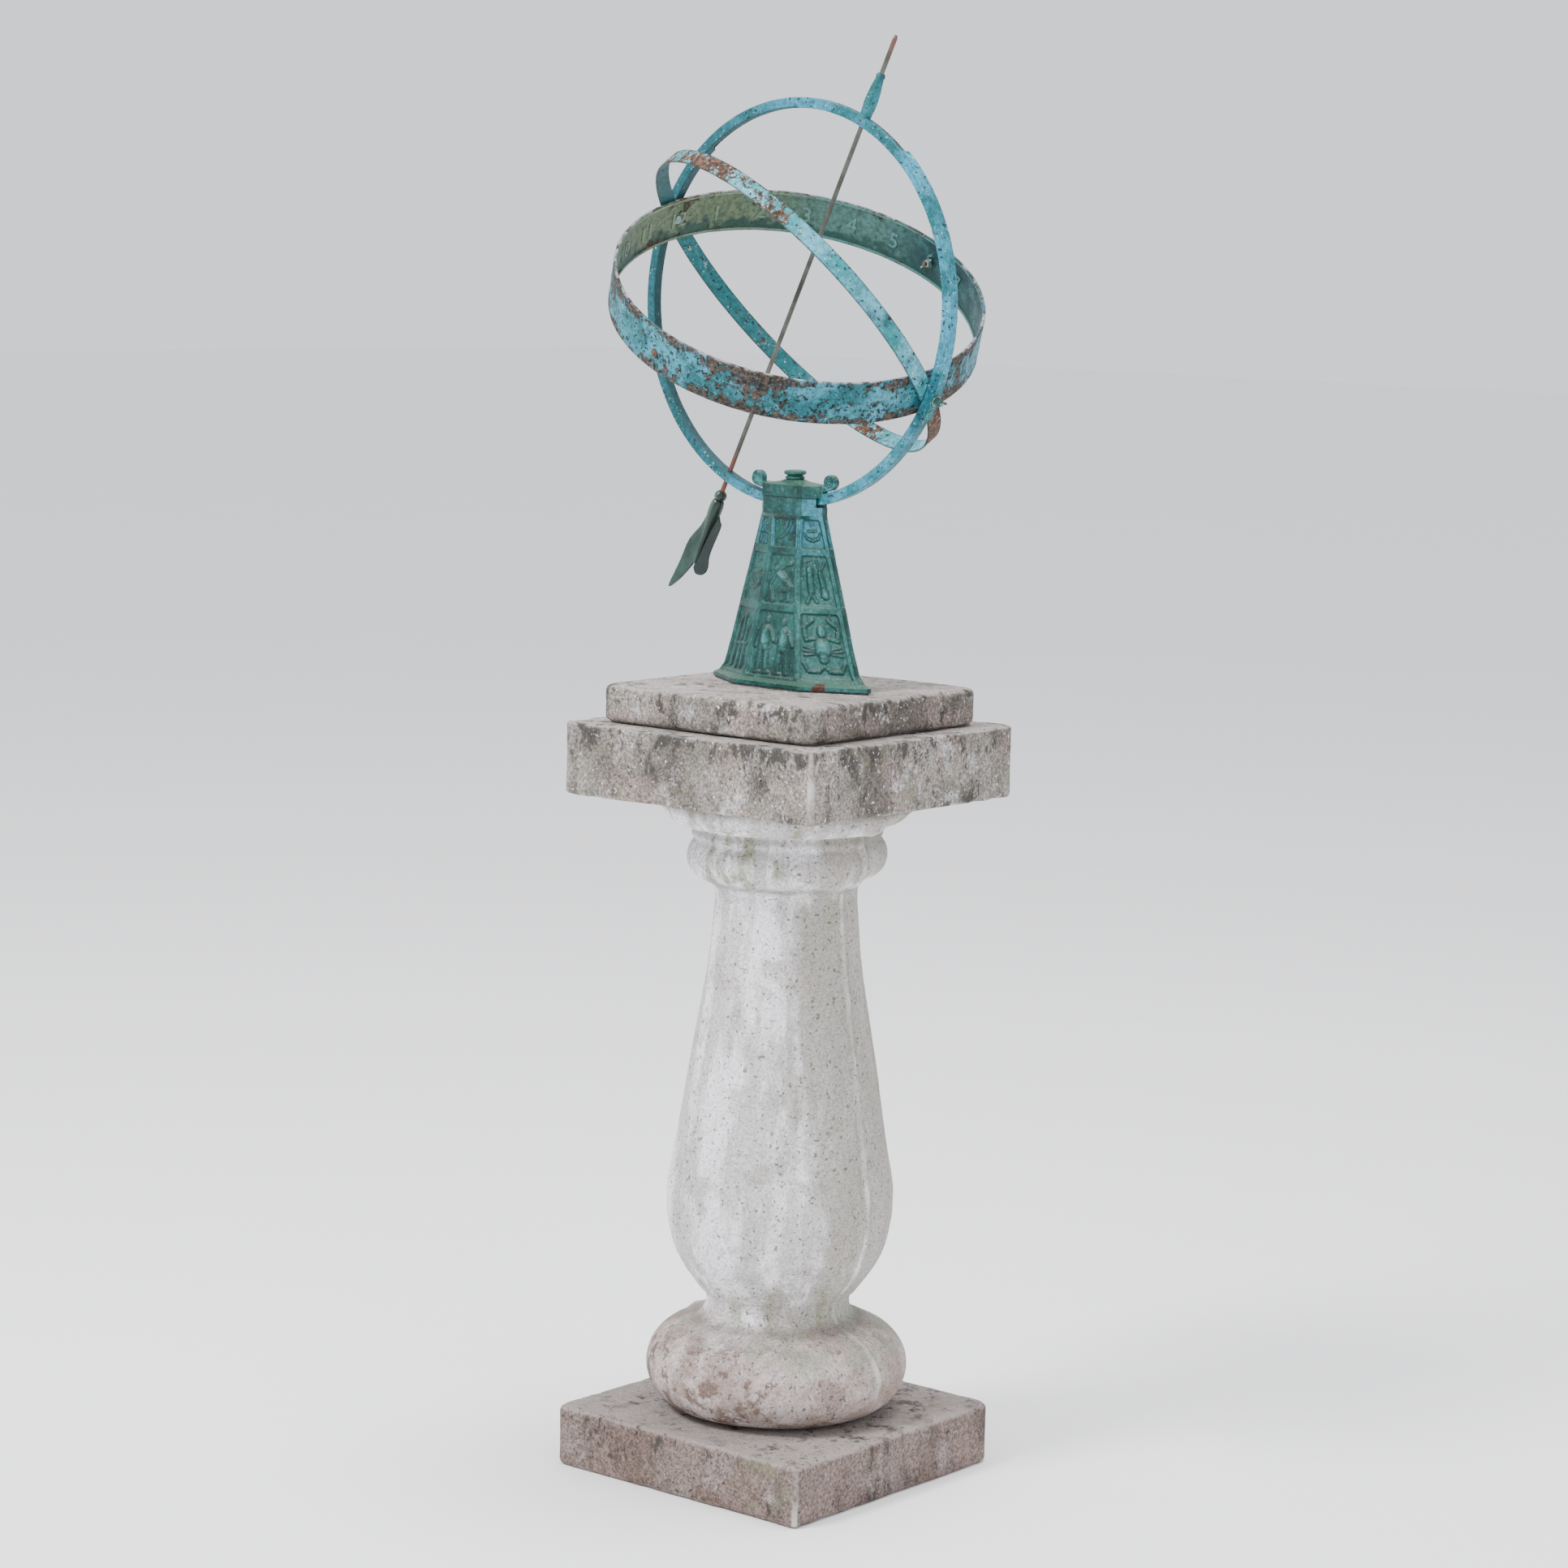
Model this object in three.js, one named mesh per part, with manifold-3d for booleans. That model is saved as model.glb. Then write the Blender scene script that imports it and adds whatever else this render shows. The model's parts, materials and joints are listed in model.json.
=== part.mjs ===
// Armillary sundial on a cast-stone baluster pedestal. Millimetres, +Z up.
// The origin is the centre of the plinth's underside. The meridian ring stands in the XZ plane.
import * as THREE from 'three';
import { mergeVertices } from 'three/addons/utils/BufferGeometryUtils.js';
import Module from 'manifold-3d';

const wasm = await Module();
wasm.setup();

// ---- driving dimensions ----
const GAP = 0.3; // between pieces that rest on each other

const pedestalTurn = 2.4; // degrees, the stones are not quite in line with the dial
const plinthSide = 372;
const plinthHeight = 71;
const bedThickness = 2.4; // mortar under and over the baluster
const balusterTop = 801.7;
const lowerSlabSide = 380;
const lowerSlabTop = 888;
const slabBedThickness = 1.4;
const upperSlabSide = 319;
const slabTop = 932; // where the dial stands
const neckDowelOffset = 62;

const leadThickness = 1.6; // lead under the pillar flange
const pillarWall = 5;
const neckTop = 221; // heights of the pillar and cap are above slabTop
const notchFloor = 210.4; // the ring ends stand on this
const slotRoom = 6; // extra width of the slots
const notchReach = 34.6; // half distance between the ring ends
const fasciaTop = 235;
const roofTop = 240.4;
const scrollX = 56;
const scrollZ = 239.5;
const scrollRadius = 9;
const tieRodRadius = 4;
const endScrewX = 39.5;
const endScrewRadius = 1.5;
const endScrewHole = 1.8;

const sphereX = -3; // the ring's centre, seen from the pillar's axis
const sphereZ = slabTop + 442.4;
const ringOuter = 234;
const ringInner = 222;
const ringThickness = 12;
const ringStart = -80.2; // degrees in the ring's plane, 0 is +X
const ringEnd = 261.6;
const crownThickness = 8; // the crown of the ring is cast thinner
const crownStart = 48;
const crownEnd = 128;
const stripThickness = 1.5; // splice strip on the outside of the ring
const stripStart = -32;
const stripEnd = 47.5;
const stripRivetAngle = 42;
const stripRivetRadius = 1.8;
const stripRivetDepth = 4;

const polarTilt = 25.7; // degrees, the gnomon leans this far from vertical towards +X
const rodRadius = 2.75;
const rodOffset = -4; // the rod passes this far from the centre, along the node axis
const rodTip = 333;
const rodTail = -263.6;
const rodHole = 3.05;
const bossStart = 231;
const bossEnd = 286;
const pinHeight = -255; // the pin through the tail collar
const pinRadius = 1.2;
const setScrewHeight = 228;
const setScrewRadius = 1.8;

const hourTilt = 15.4; // degrees about the node axis
const hourOuter = 215.5;
const hourWeb = 213;
const hourRim = 211.8;
const hourHeight = 53.6;
const rimHeight = 4;
const hourSplitAngle = 40; // the scarf joint is open
const hourSplitGap = 4;
const hourSplitLean = 61;
const bandBoltHeight = -3; // bolts at 90 and 270 degrees round the band
const bandScrewHeight = -5;

const eclipticTilt = -42.3;
const eclipticOuter = 220.8;
const eclipticInner = 218.6;
const eclipticHeight = 20.2;

const boltRadius = 2.5;
const boltRunning = 2.6; // hole that turns on a bolt
const boltHole = 2.8;
const washerThickness = 1.2;
const nodeNutHeight = 6.5;

const balusterSteps = 36;
const ringSteps = 84;
const roundSteps = 32;
const smallSteps = 16;

// ---- finishes ----
function finish(color, roughness, metalness = 0) {
  return new THREE.MeshStandardMaterial({ color, roughness, metalness });
}
const stone = finish(0xb3aea8, 0.95);
const paleStone = finish(0xd8d6da, 0.95);
const mortar = finish(0xa39b90, 0.95);
const verdigris = finish(0x57a3ae, 0.75, 0.2);
const greenBronze = finish(0x3f7a6a, 0.6, 0.3);
const darkBronze = finish(0x24463a, 0.5, 0.4);
const rodSteel = finish(0x6b6560, 0.6, 0.6);
const rustySteel = finish(0x7a5a4a, 0.8, 0.4);
const paleBronze = finish(0x8fb5ae, 0.5, 0.6);
const lead = finish(0x5c5f60, 0.7, 0.5);

// ---- solids ----
function signedVolume(position, index) {
  let volume = 0;
  const a = new THREE.Vector3();
  const b = new THREE.Vector3();
  const c = new THREE.Vector3();
  for (let i = 0; i < index.length; i += 3) {
    a.fromArray(position, index[i] * 3);
    b.fromArray(position, index[i + 1] * 3);
    c.fromArray(position, index[i + 2] * 3);
    volume += a.dot(b.cross(c)) / 6;
  }
  return volume;
}

// Triangles with three different corners: a turned shape has flat ones on its axis.
function wholeTriangles(index) {
  const kept = [];
  for (let i = 0; i < index.length; i += 3) {
    const [a, b, c] = index.slice(i, i + 3);
    if (a !== b && b !== c && c !== a) kept.push(a, b, c);
  }
  return kept;
}

function solidOf(geometry) {
  const bare = geometry.clone();
  bare.deleteAttribute('normal');
  bare.deleteAttribute('uv');
  const merged = mergeVertices(bare, 1e-4);
  const vertProperties = new Float32Array(merged.attributes.position.array);
  const triVerts = new Uint32Array(wholeTriangles(merged.index.array));
  if (signedVolume(vertProperties, triVerts) < 0) {
    for (let i = 0; i < triVerts.length; i += 3) {
      [triVerts[i], triVerts[i + 1]] = [triVerts[i + 1], triVerts[i]];
    }
  }
  return new wasm.Manifold(new wasm.Mesh({ numProp: 3, vertProperties, triVerts }));
}

function geometryOf(solid) {
  const mesh = solid.getMesh();
  const geometry = new THREE.BufferGeometry();
  geometry.setAttribute('position', new THREE.BufferAttribute(mesh.vertProperties, 3));
  geometry.setIndex(new THREE.BufferAttribute(mesh.triVerts, 1));
  geometry.computeVertexNormals();
  return geometry;
}

function joined(...geometries) {
  return geometryOf(geometries.map(solidOf).reduce((whole, next) => whole.add(next)));
}

function cut(geometry, ...tools) {
  return geometryOf(tools.map(solidOf).reduce((rest, tool) => rest.subtract(tool), solidOf(geometry)));
}

function piece(name, geometry, material) {
  const mesh = new THREE.Mesh(geometryOf(solidOf(geometry)), material);
  mesh.name = name;
  return mesh;
}

// ---- shapes, all with their length along +Z ----
function round(radius, length, steps = smallSteps) {
  return new THREE.CylinderGeometry(radius, radius, length, steps).rotateX(Math.PI / 2).translate(0, 0, length / 2);
}

function turned(profile, steps = roundSteps) {
  const points = profile.map(([r, z]) => new THREE.Vector2(r, z));
  return new THREE.LatheGeometry(points, steps).rotateX(Math.PI / 2);
}

function arcPoints(r, z, radius, from, to, steps) {
  const points = [];
  for (let i = 0; i <= steps; i++) {
    const t = THREE.MathUtils.degToRad(from + ((to - from) * i) / steps);
    points.push([r + radius * Math.cos(t), z + radius * Math.sin(t)]);
  }
  return points;
}

function curvePoints(knots, steps) {
  const curve = new THREE.SplineCurve(knots.map(([r, z]) => new THREE.Vector2(r, z)));
  return curve.getPoints(steps).map((p) => [p.x, p.y]);
}

function outline(points) {
  return new THREE.Shape(points.map(([x, y]) => new THREE.Vector2(x, y)));
}

function prism(points, depth) {
  return new THREE.ExtrudeGeometry(outline(points), { depth, bevelEnabled: false });
}

// A flat shape in the XZ plane, thick along Y and centred on it.
function plateXZ(points, thickness) {
  return prism(points, thickness).translate(0, 0, -thickness / 2).rotateX(Math.PI / 2);
}

// A square block with its own radius at each corner and a small bevel round the top and bottom.
function block(side, height, radii, bevel) {
  const half = side / 2 - bevel;
  const corners = [[-1, -1], [1, -1], [1, 1], [-1, 1]];
  const points = corners.flatMap(([sx, sy], i) => {
    const r = radii[i];
    const start = [-180, -90, 0, 90][i];
    return arcPoints(sx * (half - r), sy * (half - r), r, start, start + 90, 4);
  });
  const options = { depth: height - 2 * bevel, bevelSize: bevel, bevelThickness: bevel, bevelSegments: 2 };
  return new THREE.ExtrudeGeometry(outline(points), options).translate(0, 0, bevel);
}

// A bar bent to an arc in the XZ plane, between two radii and two angles in degrees.
function arcBar(inner, outer, thickness, from, to) {
  const steps = Math.max(2, Math.ceil((ringSteps * (to - from)) / 360));
  const points = [...arcPoints(0, 0, outer, from, to, steps), ...arcPoints(0, 0, inner, to, from, steps)];
  return plateXZ(points, thickness);
}

// A solid between matching outlines at rising heights.
function loft(sections) {
  const count = sections[0].points.length;
  const position = sections.flatMap(({ z, points }) => points.flatMap(([x, y]) => [x, y, z]));
  const index = [];
  for (let level = 0; level < sections.length - 1; level++) {
    for (let i = 0; i < count; i++) {
      const a = level * count + i;
      const b = level * count + ((i + 1) % count);
      index.push(a, b, b + count, a, b + count, a + count);
    }
  }
  const last = (sections.length - 1) * count;
  for (let i = 1; i < count - 1; i++) {
    index.push(0, i + 1, i, last, last + i, last + i + 1);
  }
  const geometry = new THREE.BufferGeometry();
  geometry.setAttribute('position', new THREE.Float32BufferAttribute(position, 3));
  geometry.setIndex(index);
  return geometry;
}

// The long eight-sided plan of the pillar: long sides, slanted sides and narrow ends.
function plan(halfLength, faceHalf, halfDepth, endHalf) {
  return [
    [faceHalf, -halfDepth],
    [halfLength, -endHalf],
    [halfLength, endHalf],
    [faceHalf, halfDepth],
    [-faceHalf, halfDepth],
    [-halfLength, endHalf],
    [-halfLength, -endHalf],
    [-faceHalf, -halfDepth],
  ];
}

function washer(outer, hole, thickness) {
  return cut(round(outer, thickness, 24), round(hole, thickness + 6).translate(0, 0, -3));
}

function hexNut(acrossFlats, hole, thickness) {
  const blank = round(acrossFlats / Math.sqrt(3), thickness, 6);
  return cut(blank, round(hole, thickness + 6).translate(0, 0, -3));
}

// ---- pedestal ----
const bedZ = plinthHeight + GAP;
const balusterZ = bedZ + bedThickness + GAP;
const topBedZ = balusterTop + GAP;
const lowerSlabZ = topBedZ + bedThickness + GAP;
const slabBedZ = lowerSlabTop + GAP;
const upperSlabZ = slabBedZ + slabBedThickness + GAP;
const dowelRadius = 8;
const dowelHole = 8.5;
const footDowelLow = 30;
const footDowelHigh = 130;
const neckDowelLow = 755;
const neckDowelHigh = 850;
const pocketRadius = 24;
const pocketTop = lowerSlabZ + 30;
const tieHole = tieRodRadius + 1;

function plinth() {
  const stoneBlock = block(plinthSide, plinthHeight, [14, 5, 22, 12], 4);
  return cut(stoneBlock, round(dowelHole, plinthHeight).translate(0, 0, footDowelLow - 1));
}

function baluster() {
  const shaft = curvePoints(
    [[84.5, 197], [86.5, 210], [95, 219], [121.3, 258.5], [131.8, 298], [133.6, 323], [132.6, 347.5],
      [123.7, 396.5], [108.6, 494], [92.5, 591.5], [84.5, 664], [84, 690]],
    15
  );
  const profile = [
    [0, footDowelHigh + 1],
    [dowelHole, footDowelHigh + 1],
    [dowelHole, balusterZ],
    ...arcPoints(104, 124, 50.7, -75, 68, 8),
    [99, 181],
    [88, 188],
    ...shaft,
    [87, 698],
    ...arcPoints(89.5, 732, 28, -70, 42, 5),
    [109.5, 755],
    [111.5, 760],
    [112, 770],
    ...arcPoints(118, 800, 31, -72, 0, 3),
    [149, balusterTop],
    [0, balusterTop],
  ];
  const dowels = [-1, 1].map((side) =>
    round(dowelHole, 100).translate(side * neckDowelOffset, 0, neckDowelLow - 1)
  );
  return cut(turned(profile, balusterSteps), ...dowels);
}

function lowerSlab() {
  const height = lowerSlabTop - lowerSlabZ;
  const stoneBlock = block(lowerSlabSide, height, [22, 4, 20, 14], 2.5).translate(0, 0, lowerSlabZ);
  const dowels = [-1, 1].map((side) =>
    round(dowelHole, neckDowelHigh + 1 - lowerSlabZ + 10).translate(side * neckDowelOffset, 0, lowerSlabZ - 10)
  );
  const pocket = round(pocketRadius, 40, 24).translate(0, 0, pocketTop - 40);
  return cut(stoneBlock, ...dowels, pocket, round(tieHole, 200).translate(0, 0, lowerSlabZ));
}

function upperSlab() {
  const stoneBlock = block(upperSlabSide, slabTop - upperSlabZ, [26, 16, 26, 16], 5);
  return cut(stoneBlock.translate(0, 0, upperSlabZ), round(tieHole, 100).translate(0, 0, upperSlabZ - 20));
}

function mortarBed(radius, z, holes) {
  const tools = holes.map(([x, r]) => round(r, 20, 24).translate(x, 0, z - 5));
  return cut(round(radius, bedThickness, 48).translate(0, 0, z), ...tools);
}

function slabBed() {
  const half = upperSlabSide / 2 - 12;
  const square = [[-half, -half], [half, -half], [half, half], [-half, half]];
  const sheet = prism(square, slabBedThickness).translate(0, 0, slabBedZ);
  return cut(sheet, round(tieHole, 20).translate(0, 0, slabBedZ - 5));
}

function makePedestal() {
  const group = new THREE.Group();
  group.rotation.z = THREE.MathUtils.degToRad(pedestalTurn);
  const neckHoles = [[-neckDowelOffset, dowelHole], [neckDowelOffset, dowelHole], [0, pocketRadius]];
  group.add(
    piece('plinth_block', plinth(), stone),
    piece('foot_mortar', mortarBed(104, bedZ, [[0, dowelHole]]), mortar),
    piece('baluster', baluster(), paleStone),
    piece('capital_mortar', mortarBed(140, topBedZ, neckHoles), mortar),
    piece('lower_slab', lowerSlab(), stone),
    piece('slab_mortar', slabBed(), mortar),
    piece('upper_slab', upperSlab(), stone),
    piece('foot_dowel', round(dowelRadius, footDowelHigh - footDowelLow).translate(0, 0, footDowelLow), rustySteel)
  );
  ['left', 'right'].forEach((side, i) => {
    const x = (i * 2 - 1) * neckDowelOffset;
    const pin = round(dowelRadius, neckDowelHigh - neckDowelLow).translate(x, 0, neckDowelLow);
    group.add(piece(`capital_dowel_${side}`, pin, rustySteel));
  });
  return group;
}

// ---- dial pillar, in heights above the slab ----
const pillarZ = leadThickness + 2 * GAP;
const pillarSections = [
  [pillarZ, 121, 50, 44, 3],
  [6, 121, 50, 44, 3],
  [11, 110, 43, 38, 4.5],
  [20, 102, 40, 35.5, 4.6],
  [52, 91, 36.5, 32, 4.6],
  [90, 80, 31, 26.5, 4.6],
  [126, 69, 25.5, 21.5, 4.6],
  [164, 57.5, 22.5, 17.8, 4.6],
  [196, 48, 21.8, 16.5, 4.6],
  [201, 46.7, 30.3, 20.5, 4.7],
  [neckTop, 46.7, 30.3, 20.5, 4.7],
];
const topPlateZ = 203;
const panelRows = [[14, 88], [97, 154], [163, 195]];
const panelDepth = 1.6;
const panelMargin = 4.5;

function sectionAt(z) {
  const above = pillarSections.findIndex((section) => section[0] >= z);
  const high = pillarSections[Math.max(above, 1)];
  const low = pillarSections[Math.max(above, 1) - 1];
  const t = (z - low[0]) / (high[0] - low[0]);
  return low.map((value, i) => value + t * (high[i] - value));
}

function pillarCavity() {
  const inset = (section, z) => {
    const [, length, face, depth, end] = section;
    return { z, points: plan(length - pillarWall, face - 3, depth - pillarWall, end - 2) };
  };
  const levels = [
    inset(sectionAt(11), pillarZ - 5),
    inset(sectionAt(20), 12),
    inset(sectionAt(52), 52),
    inset(sectionAt(90), 90),
    inset(sectionAt(126), 126),
    inset(sectionAt(164), 164),
    inset(sectionAt(196), 194),
    inset(sectionAt(196), topPlateZ),
  ];
  return loft(levels);
}

// A sunk panel on one slanted or long side, between two corners of the plan and two heights.
function panelTool(corner, low, high) {
  const at = (z) => {
    const [, length, face, depth, end] = sectionAt(z);
    const points = plan(length, face, depth, end);
    return [points[corner], points[(corner + 1) % points.length]].map(([x, y]) => new THREE.Vector3(x, y, z));
  };
  const [a, b] = at(low);
  const [d, c] = at(high);
  const along = b.clone().sub(a).normalize();
  const out = along.clone().cross(d.clone().sub(a)).normalize();
  const inwards = (point, toward, amount) =>
    point.clone().add(toward.clone().sub(point).normalize().multiplyScalar(amount));
  const ring = [inwards(a, b, panelMargin), inwards(b, a, panelMargin), inwards(c, d, panelMargin),
    inwards(d, c, panelMargin)];
  const face = (offset) => ring.flatMap((p) => p.clone().addScaledVector(out, offset).toArray());
  const geometry = new THREE.BufferGeometry();
  geometry.setAttribute('position', new THREE.Float32BufferAttribute([...face(-panelDepth), ...face(6)], 3));
  geometry.setIndex([0, 2, 1, 0, 3, 2, 4, 5, 6, 4, 6, 7, 0, 1, 5, 0, 5, 4, 1, 2, 6, 1, 6, 5, 2, 3, 7, 2, 7, 6,
    3, 0, 4, 3, 4, 7]);
  return geometry;
}

function ringNotches(low, high, reach) {
  return [-1, 1].map((side) => {
    const box = new THREE.BoxGeometry(60, ringThickness + 2 * GAP + slotRoom, high - low);
    return box.translate(side * (reach + 30), 0, (low + high) / 2);
  });
}

function pillar() {
  const body = loft(pillarSections.map(([z, ...sizes]) => ({ z, points: plan(...sizes) })));
  const longAndSlanted = [0, 2, 3, 4, 6, 7];
  const panels = panelRows.flatMap(([low, high]) => longAndSlanted.map((corner) => panelTool(corner, low, high)));
  const screws = [-1, 1].map((side) => round(endScrewHole, 60).translate(side * endScrewX, 0, 180));
  return cut(
    body,
    pillarCavity(),
    ...panels,
    ...ringNotches(notchFloor, neckTop + 5, notchReach),
    ...screws,
    round(tieHole, 60).translate(0, 0, 190)
  );
}

function cap(ringClearance) {
  const base = neckTop + GAP;
  const roof = loft([
    { z: base, points: plan(47.5, 31.3, 21.8, 4.7) },
    { z: fasciaTop, points: plan(46.5, 31.3, 21.8, 4.4) },
    { z: fasciaTop + 1.6, points: plan(30, 21, 16, 4.4) },
    { z: fasciaTop + 3.4, points: plan(18, 11, 12.5, 6) },
    { z: roofTop, points: plan(11.5, 5, 11.2, 5) },
  ]);
  const arm = [[36, 224], [46, 226], [53, 228.5], [60, 232], [57, 238], [50, 235.5], [46, 236], [36, 235]];
  const sides = [-1, 1].flatMap((side) => {
    const blade = plateXZ(arm.map(([x, z]) => [side * x, z]), 8.2);
    const scroll = round(scrollRadius, 8.4, 24).translate(0, 0, -4.2).rotateX(Math.PI / 2);
    return [blade, scroll.translate(side * scrollX, 0, scrollZ)];
  });
  return cut(joined(roof, ...sides), ringClearance, round(tieHole, 60).translate(0, 0, 200));
}

function finial() {
  const z = roofTop + GAP;
  const bore = tieRodRadius + GAP;
  const profile = [
    [0, z + 8.6], [bore, z + 8.6], [bore, z], [10.2, z], [11.4, z + 1.2], [11.4, z + 2.6], [9, z + 4],
    [9, z + 4.8], [12.9, z + 6.2], [13, z + 8.2], [11.6, z + 10.2], [0, z + 10.8],
  ];
  return turned(profile, 24);
}

// A screw from the hollow of the pillar up into one end of the ring.
function endScrew() {
  return joined(round(2.6, 2.4).translate(0, 0, -2.4), round(endScrewRadius, 15).translate(0, 0, -1));
}

function makePillar() {
  const group = new THREE.Group();
  group.position.z = slabTop;
  const ringSpace = arcBar(ringInner - 0.6, ringOuter + 6, ringThickness + 2 * GAP + 0.4, -130, -50);
  ringSpace.translate(sphereX, 0, sphereZ - slabTop);
  const leadSheet = loft([
    { z: GAP, points: plan(118, 49, 43, 3) },
    { z: GAP + leadThickness, points: plan(118, 49, 43, 3) },
  ]);
  const rodLow = pocketTop - slabTop - 14;
  const rodHigh = roofTop + 7.6;
  const washerZ = pocketTop - slabTop - GAP - 2.5;
  const nutZ = washerZ - GAP - 6.5;
  group.add(
    piece('pillar_lead', cut(leadSheet, round(tieHole, 20).translate(0, 0, -5)), lead),
    piece('dial_pillar', pillar(), greenBronze),
    piece('pillar_cap', cap(ringSpace), greenBronze),
    piece('finial_nut', finial(), greenBronze),
    piece('tie_rod', round(tieRodRadius, rodHigh - rodLow).translate(0, 0, rodLow), rustySteel),
    piece('tie_washer', washer(15, tieHole, 2.5).translate(0, 0, washerZ), rustySteel),
    piece('tie_nut', hexNut(13, tieRodRadius + GAP, 6.5).translate(0, 0, nutZ), rustySteel)
  );
  ['left', 'right'].forEach((side, i) => {
    const x = (i * 2 - 1) * endScrewX;
    group.add(piece(`ring_end_screw_${side}`, endScrew().translate(x, 0, topPlateZ - GAP), rustySteel));
  });
  return group;
}

// ---- sphere, in the polar frame: +Z along the gnomon, +X along the node axis, +Y through the ring ----
const polarTurn = THREE.MathUtils.degToRad(polarTilt);
const standToPolar = new THREE.Matrix4()
  .makeRotationY(-polarTurn)
  .multiply(new THREE.Matrix4().makeTranslation(-sphereX, 0, slabTop - sphereZ));
const ringAngle = (angle) => angle + polarTilt;

// A rod along the whole node axis.
function nodeRod(radius) {
  return round(radius, 600).translate(0, 0, -300).rotateY(Math.PI / 2);
}

// A rod pointing outwards in the ring's plane.
function ringRod(radius, inner, length, angle) {
  const turn = Math.PI / 2 - THREE.MathUtils.degToRad(ringAngle(angle));
  return round(radius, length).translate(0, 0, inner).rotateY(turn);
}

function meridianRing() {
  const crown = arcBar(ringInner - 5, ringOuter + 5, ringThickness, ringAngle(crownStart), ringAngle(crownEnd));
  const endScrews = [-1, 1].map((side) =>
    round(endScrewHole, 23).translate(side * endScrewX, 0, 195).applyMatrix4(standToPolar)
  );
  const setScrews = [-1, 1].map((side) => setScrewShape(GAP).translate(rodOffset, 0, side * setScrewHeight));
  return cut(
    arcBar(ringInner, ringOuter, ringThickness, ringAngle(ringStart), ringAngle(ringEnd)),
    crown.translate(0, crownThickness, 0),
    nodeRod(boltHole),
    round(rodRadius + 0.1, 600).translate(rodOffset, 0, -300),
    ringRod(stripRivetRadius + GAP, ringOuter - stripRivetDepth - GAP, 20, stripRivetAngle),
    ...endScrews,
    ...setScrews
  );
}

// A headless screw in the front face of the ring, lying against the rod.
function setScrewShape(margin) {
  const near = -ringThickness / 2 - margin;
  const far = -rodRadius - GAP + margin;
  return round(setScrewRadius + margin, far - near).rotateX(-Math.PI / 2).translate(0, near, 0);
}

function spliceStrip() {
  const strip = arcBar(
    ringOuter + GAP,
    ringOuter + GAP + stripThickness,
    ringThickness,
    ringAngle(stripStart),
    ringAngle(stripEnd)
  );
  return cut(strip, nodeRod(boltHole), ringRod(stripRivetRadius + GAP, ringOuter, 9, stripRivetAngle));
}

function stripRivet() {
  const head = ringOuter + 2 * GAP + stripThickness;
  return joined(
    ringRod(stripRivetRadius, ringOuter - stripRivetDepth, head - ringOuter + stripRivetDepth + 0.5, stripRivetAngle),
    ringRod(3.2, head, 1.2, stripRivetAngle)
  );
}

// The block on the ring that carries the upper end of the rod.
function pointBoss() {
  const square = (half, z) => ({ z, points: [[-half, -half], [half, -half], [half, half], [-half, half]] });
  const block = loft([square(6.3, bossStart - 4), square(6.9, 250), square(5.2, 280), square(5.8, 283), square(5.8, bossEnd)]);
  block.translate(rodOffset, 0, 0);
  const ringBelow = new THREE.CylinderGeometry(ringOuter + GAP, ringOuter + GAP, 40, ringSteps);
  return cut(block, ringBelow, round(rodRadius + 0.1, 100).translate(rodOffset, 0, 220));
}

// A bolt through both bands and the ring at one node, with its head inside the hour band.
function nodeBolt(end) {
  const head = hourWeb - GAP - 3.2;
  const profile = [
    [0, head], [2.4, head + 0.1], [4.6, head + 1.2], [5.5, head + 2.4], [5.5, hourWeb - GAP],
    [boltRadius, hourWeb - GAP], [boltRadius, end], [0, end],
  ];
  return turned(profile, 20);
}

function wingNut(wingHeight) {
  const hub = turned([[0, 0], [5, 0], [4.2, wingHeight - 0.5], [3.8, wingHeight], [0, wingHeight]], 20);
  const wings = [-1, 1].map((side) => {
    const wing = [[2, 1], [5, 1.6], [9.4, 2.4], [10.6, 4.2], [10.2, 6.4], [8.6, 7.4], [6.4, 6.6], [2, 5.2]];
    return plateXZ(wing.map(([x, z]) => [side * x, z]), 1.9);
  });
  return cut(joined(hub, ...wings), round(boltHole, 30).translate(0, 0, -5));
}

// Everything on one node, stacked outwards along +Z.
function makeNode(name, outside) {
  const group = new THREE.Group();
  const spacerZ = hourOuter + GAP;
  const spacerThickness = eclipticInner - GAP - spacerZ;
  const washerZ = outside + GAP;
  const nutZ = washerZ + washerThickness + GAP;
  const nut = wingNut(nodeNutHeight).translate(0, 0, nutZ);
  group.add(
    piece(`node_bolt_${name}`, nodeBolt(nutZ + nodeNutHeight + 2), paleBronze),
    piece(`node_spacer_${name}`, washer(6, boltHole, spacerThickness).translate(0, 0, spacerZ), paleBronze),
    piece(`node_washer_${name}`, washer(6.5, boltHole, washerThickness).translate(0, 0, washerZ), paleBronze),
    piece(`node_wing_nut_${name}`, nut, greenBronze)
  );
  return group;
}

// A rod from inside the band outwards, at an angle round the band and a height on it.
function bandHole(radius, angle, height) {
  return round(radius, 40)
    .translate(0, 0, hourRim - 20)
    .rotateY(Math.PI / 2)
    .rotateZ(THREE.MathUtils.degToRad(angle))
    .translate(0, 0, height);
}

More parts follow.
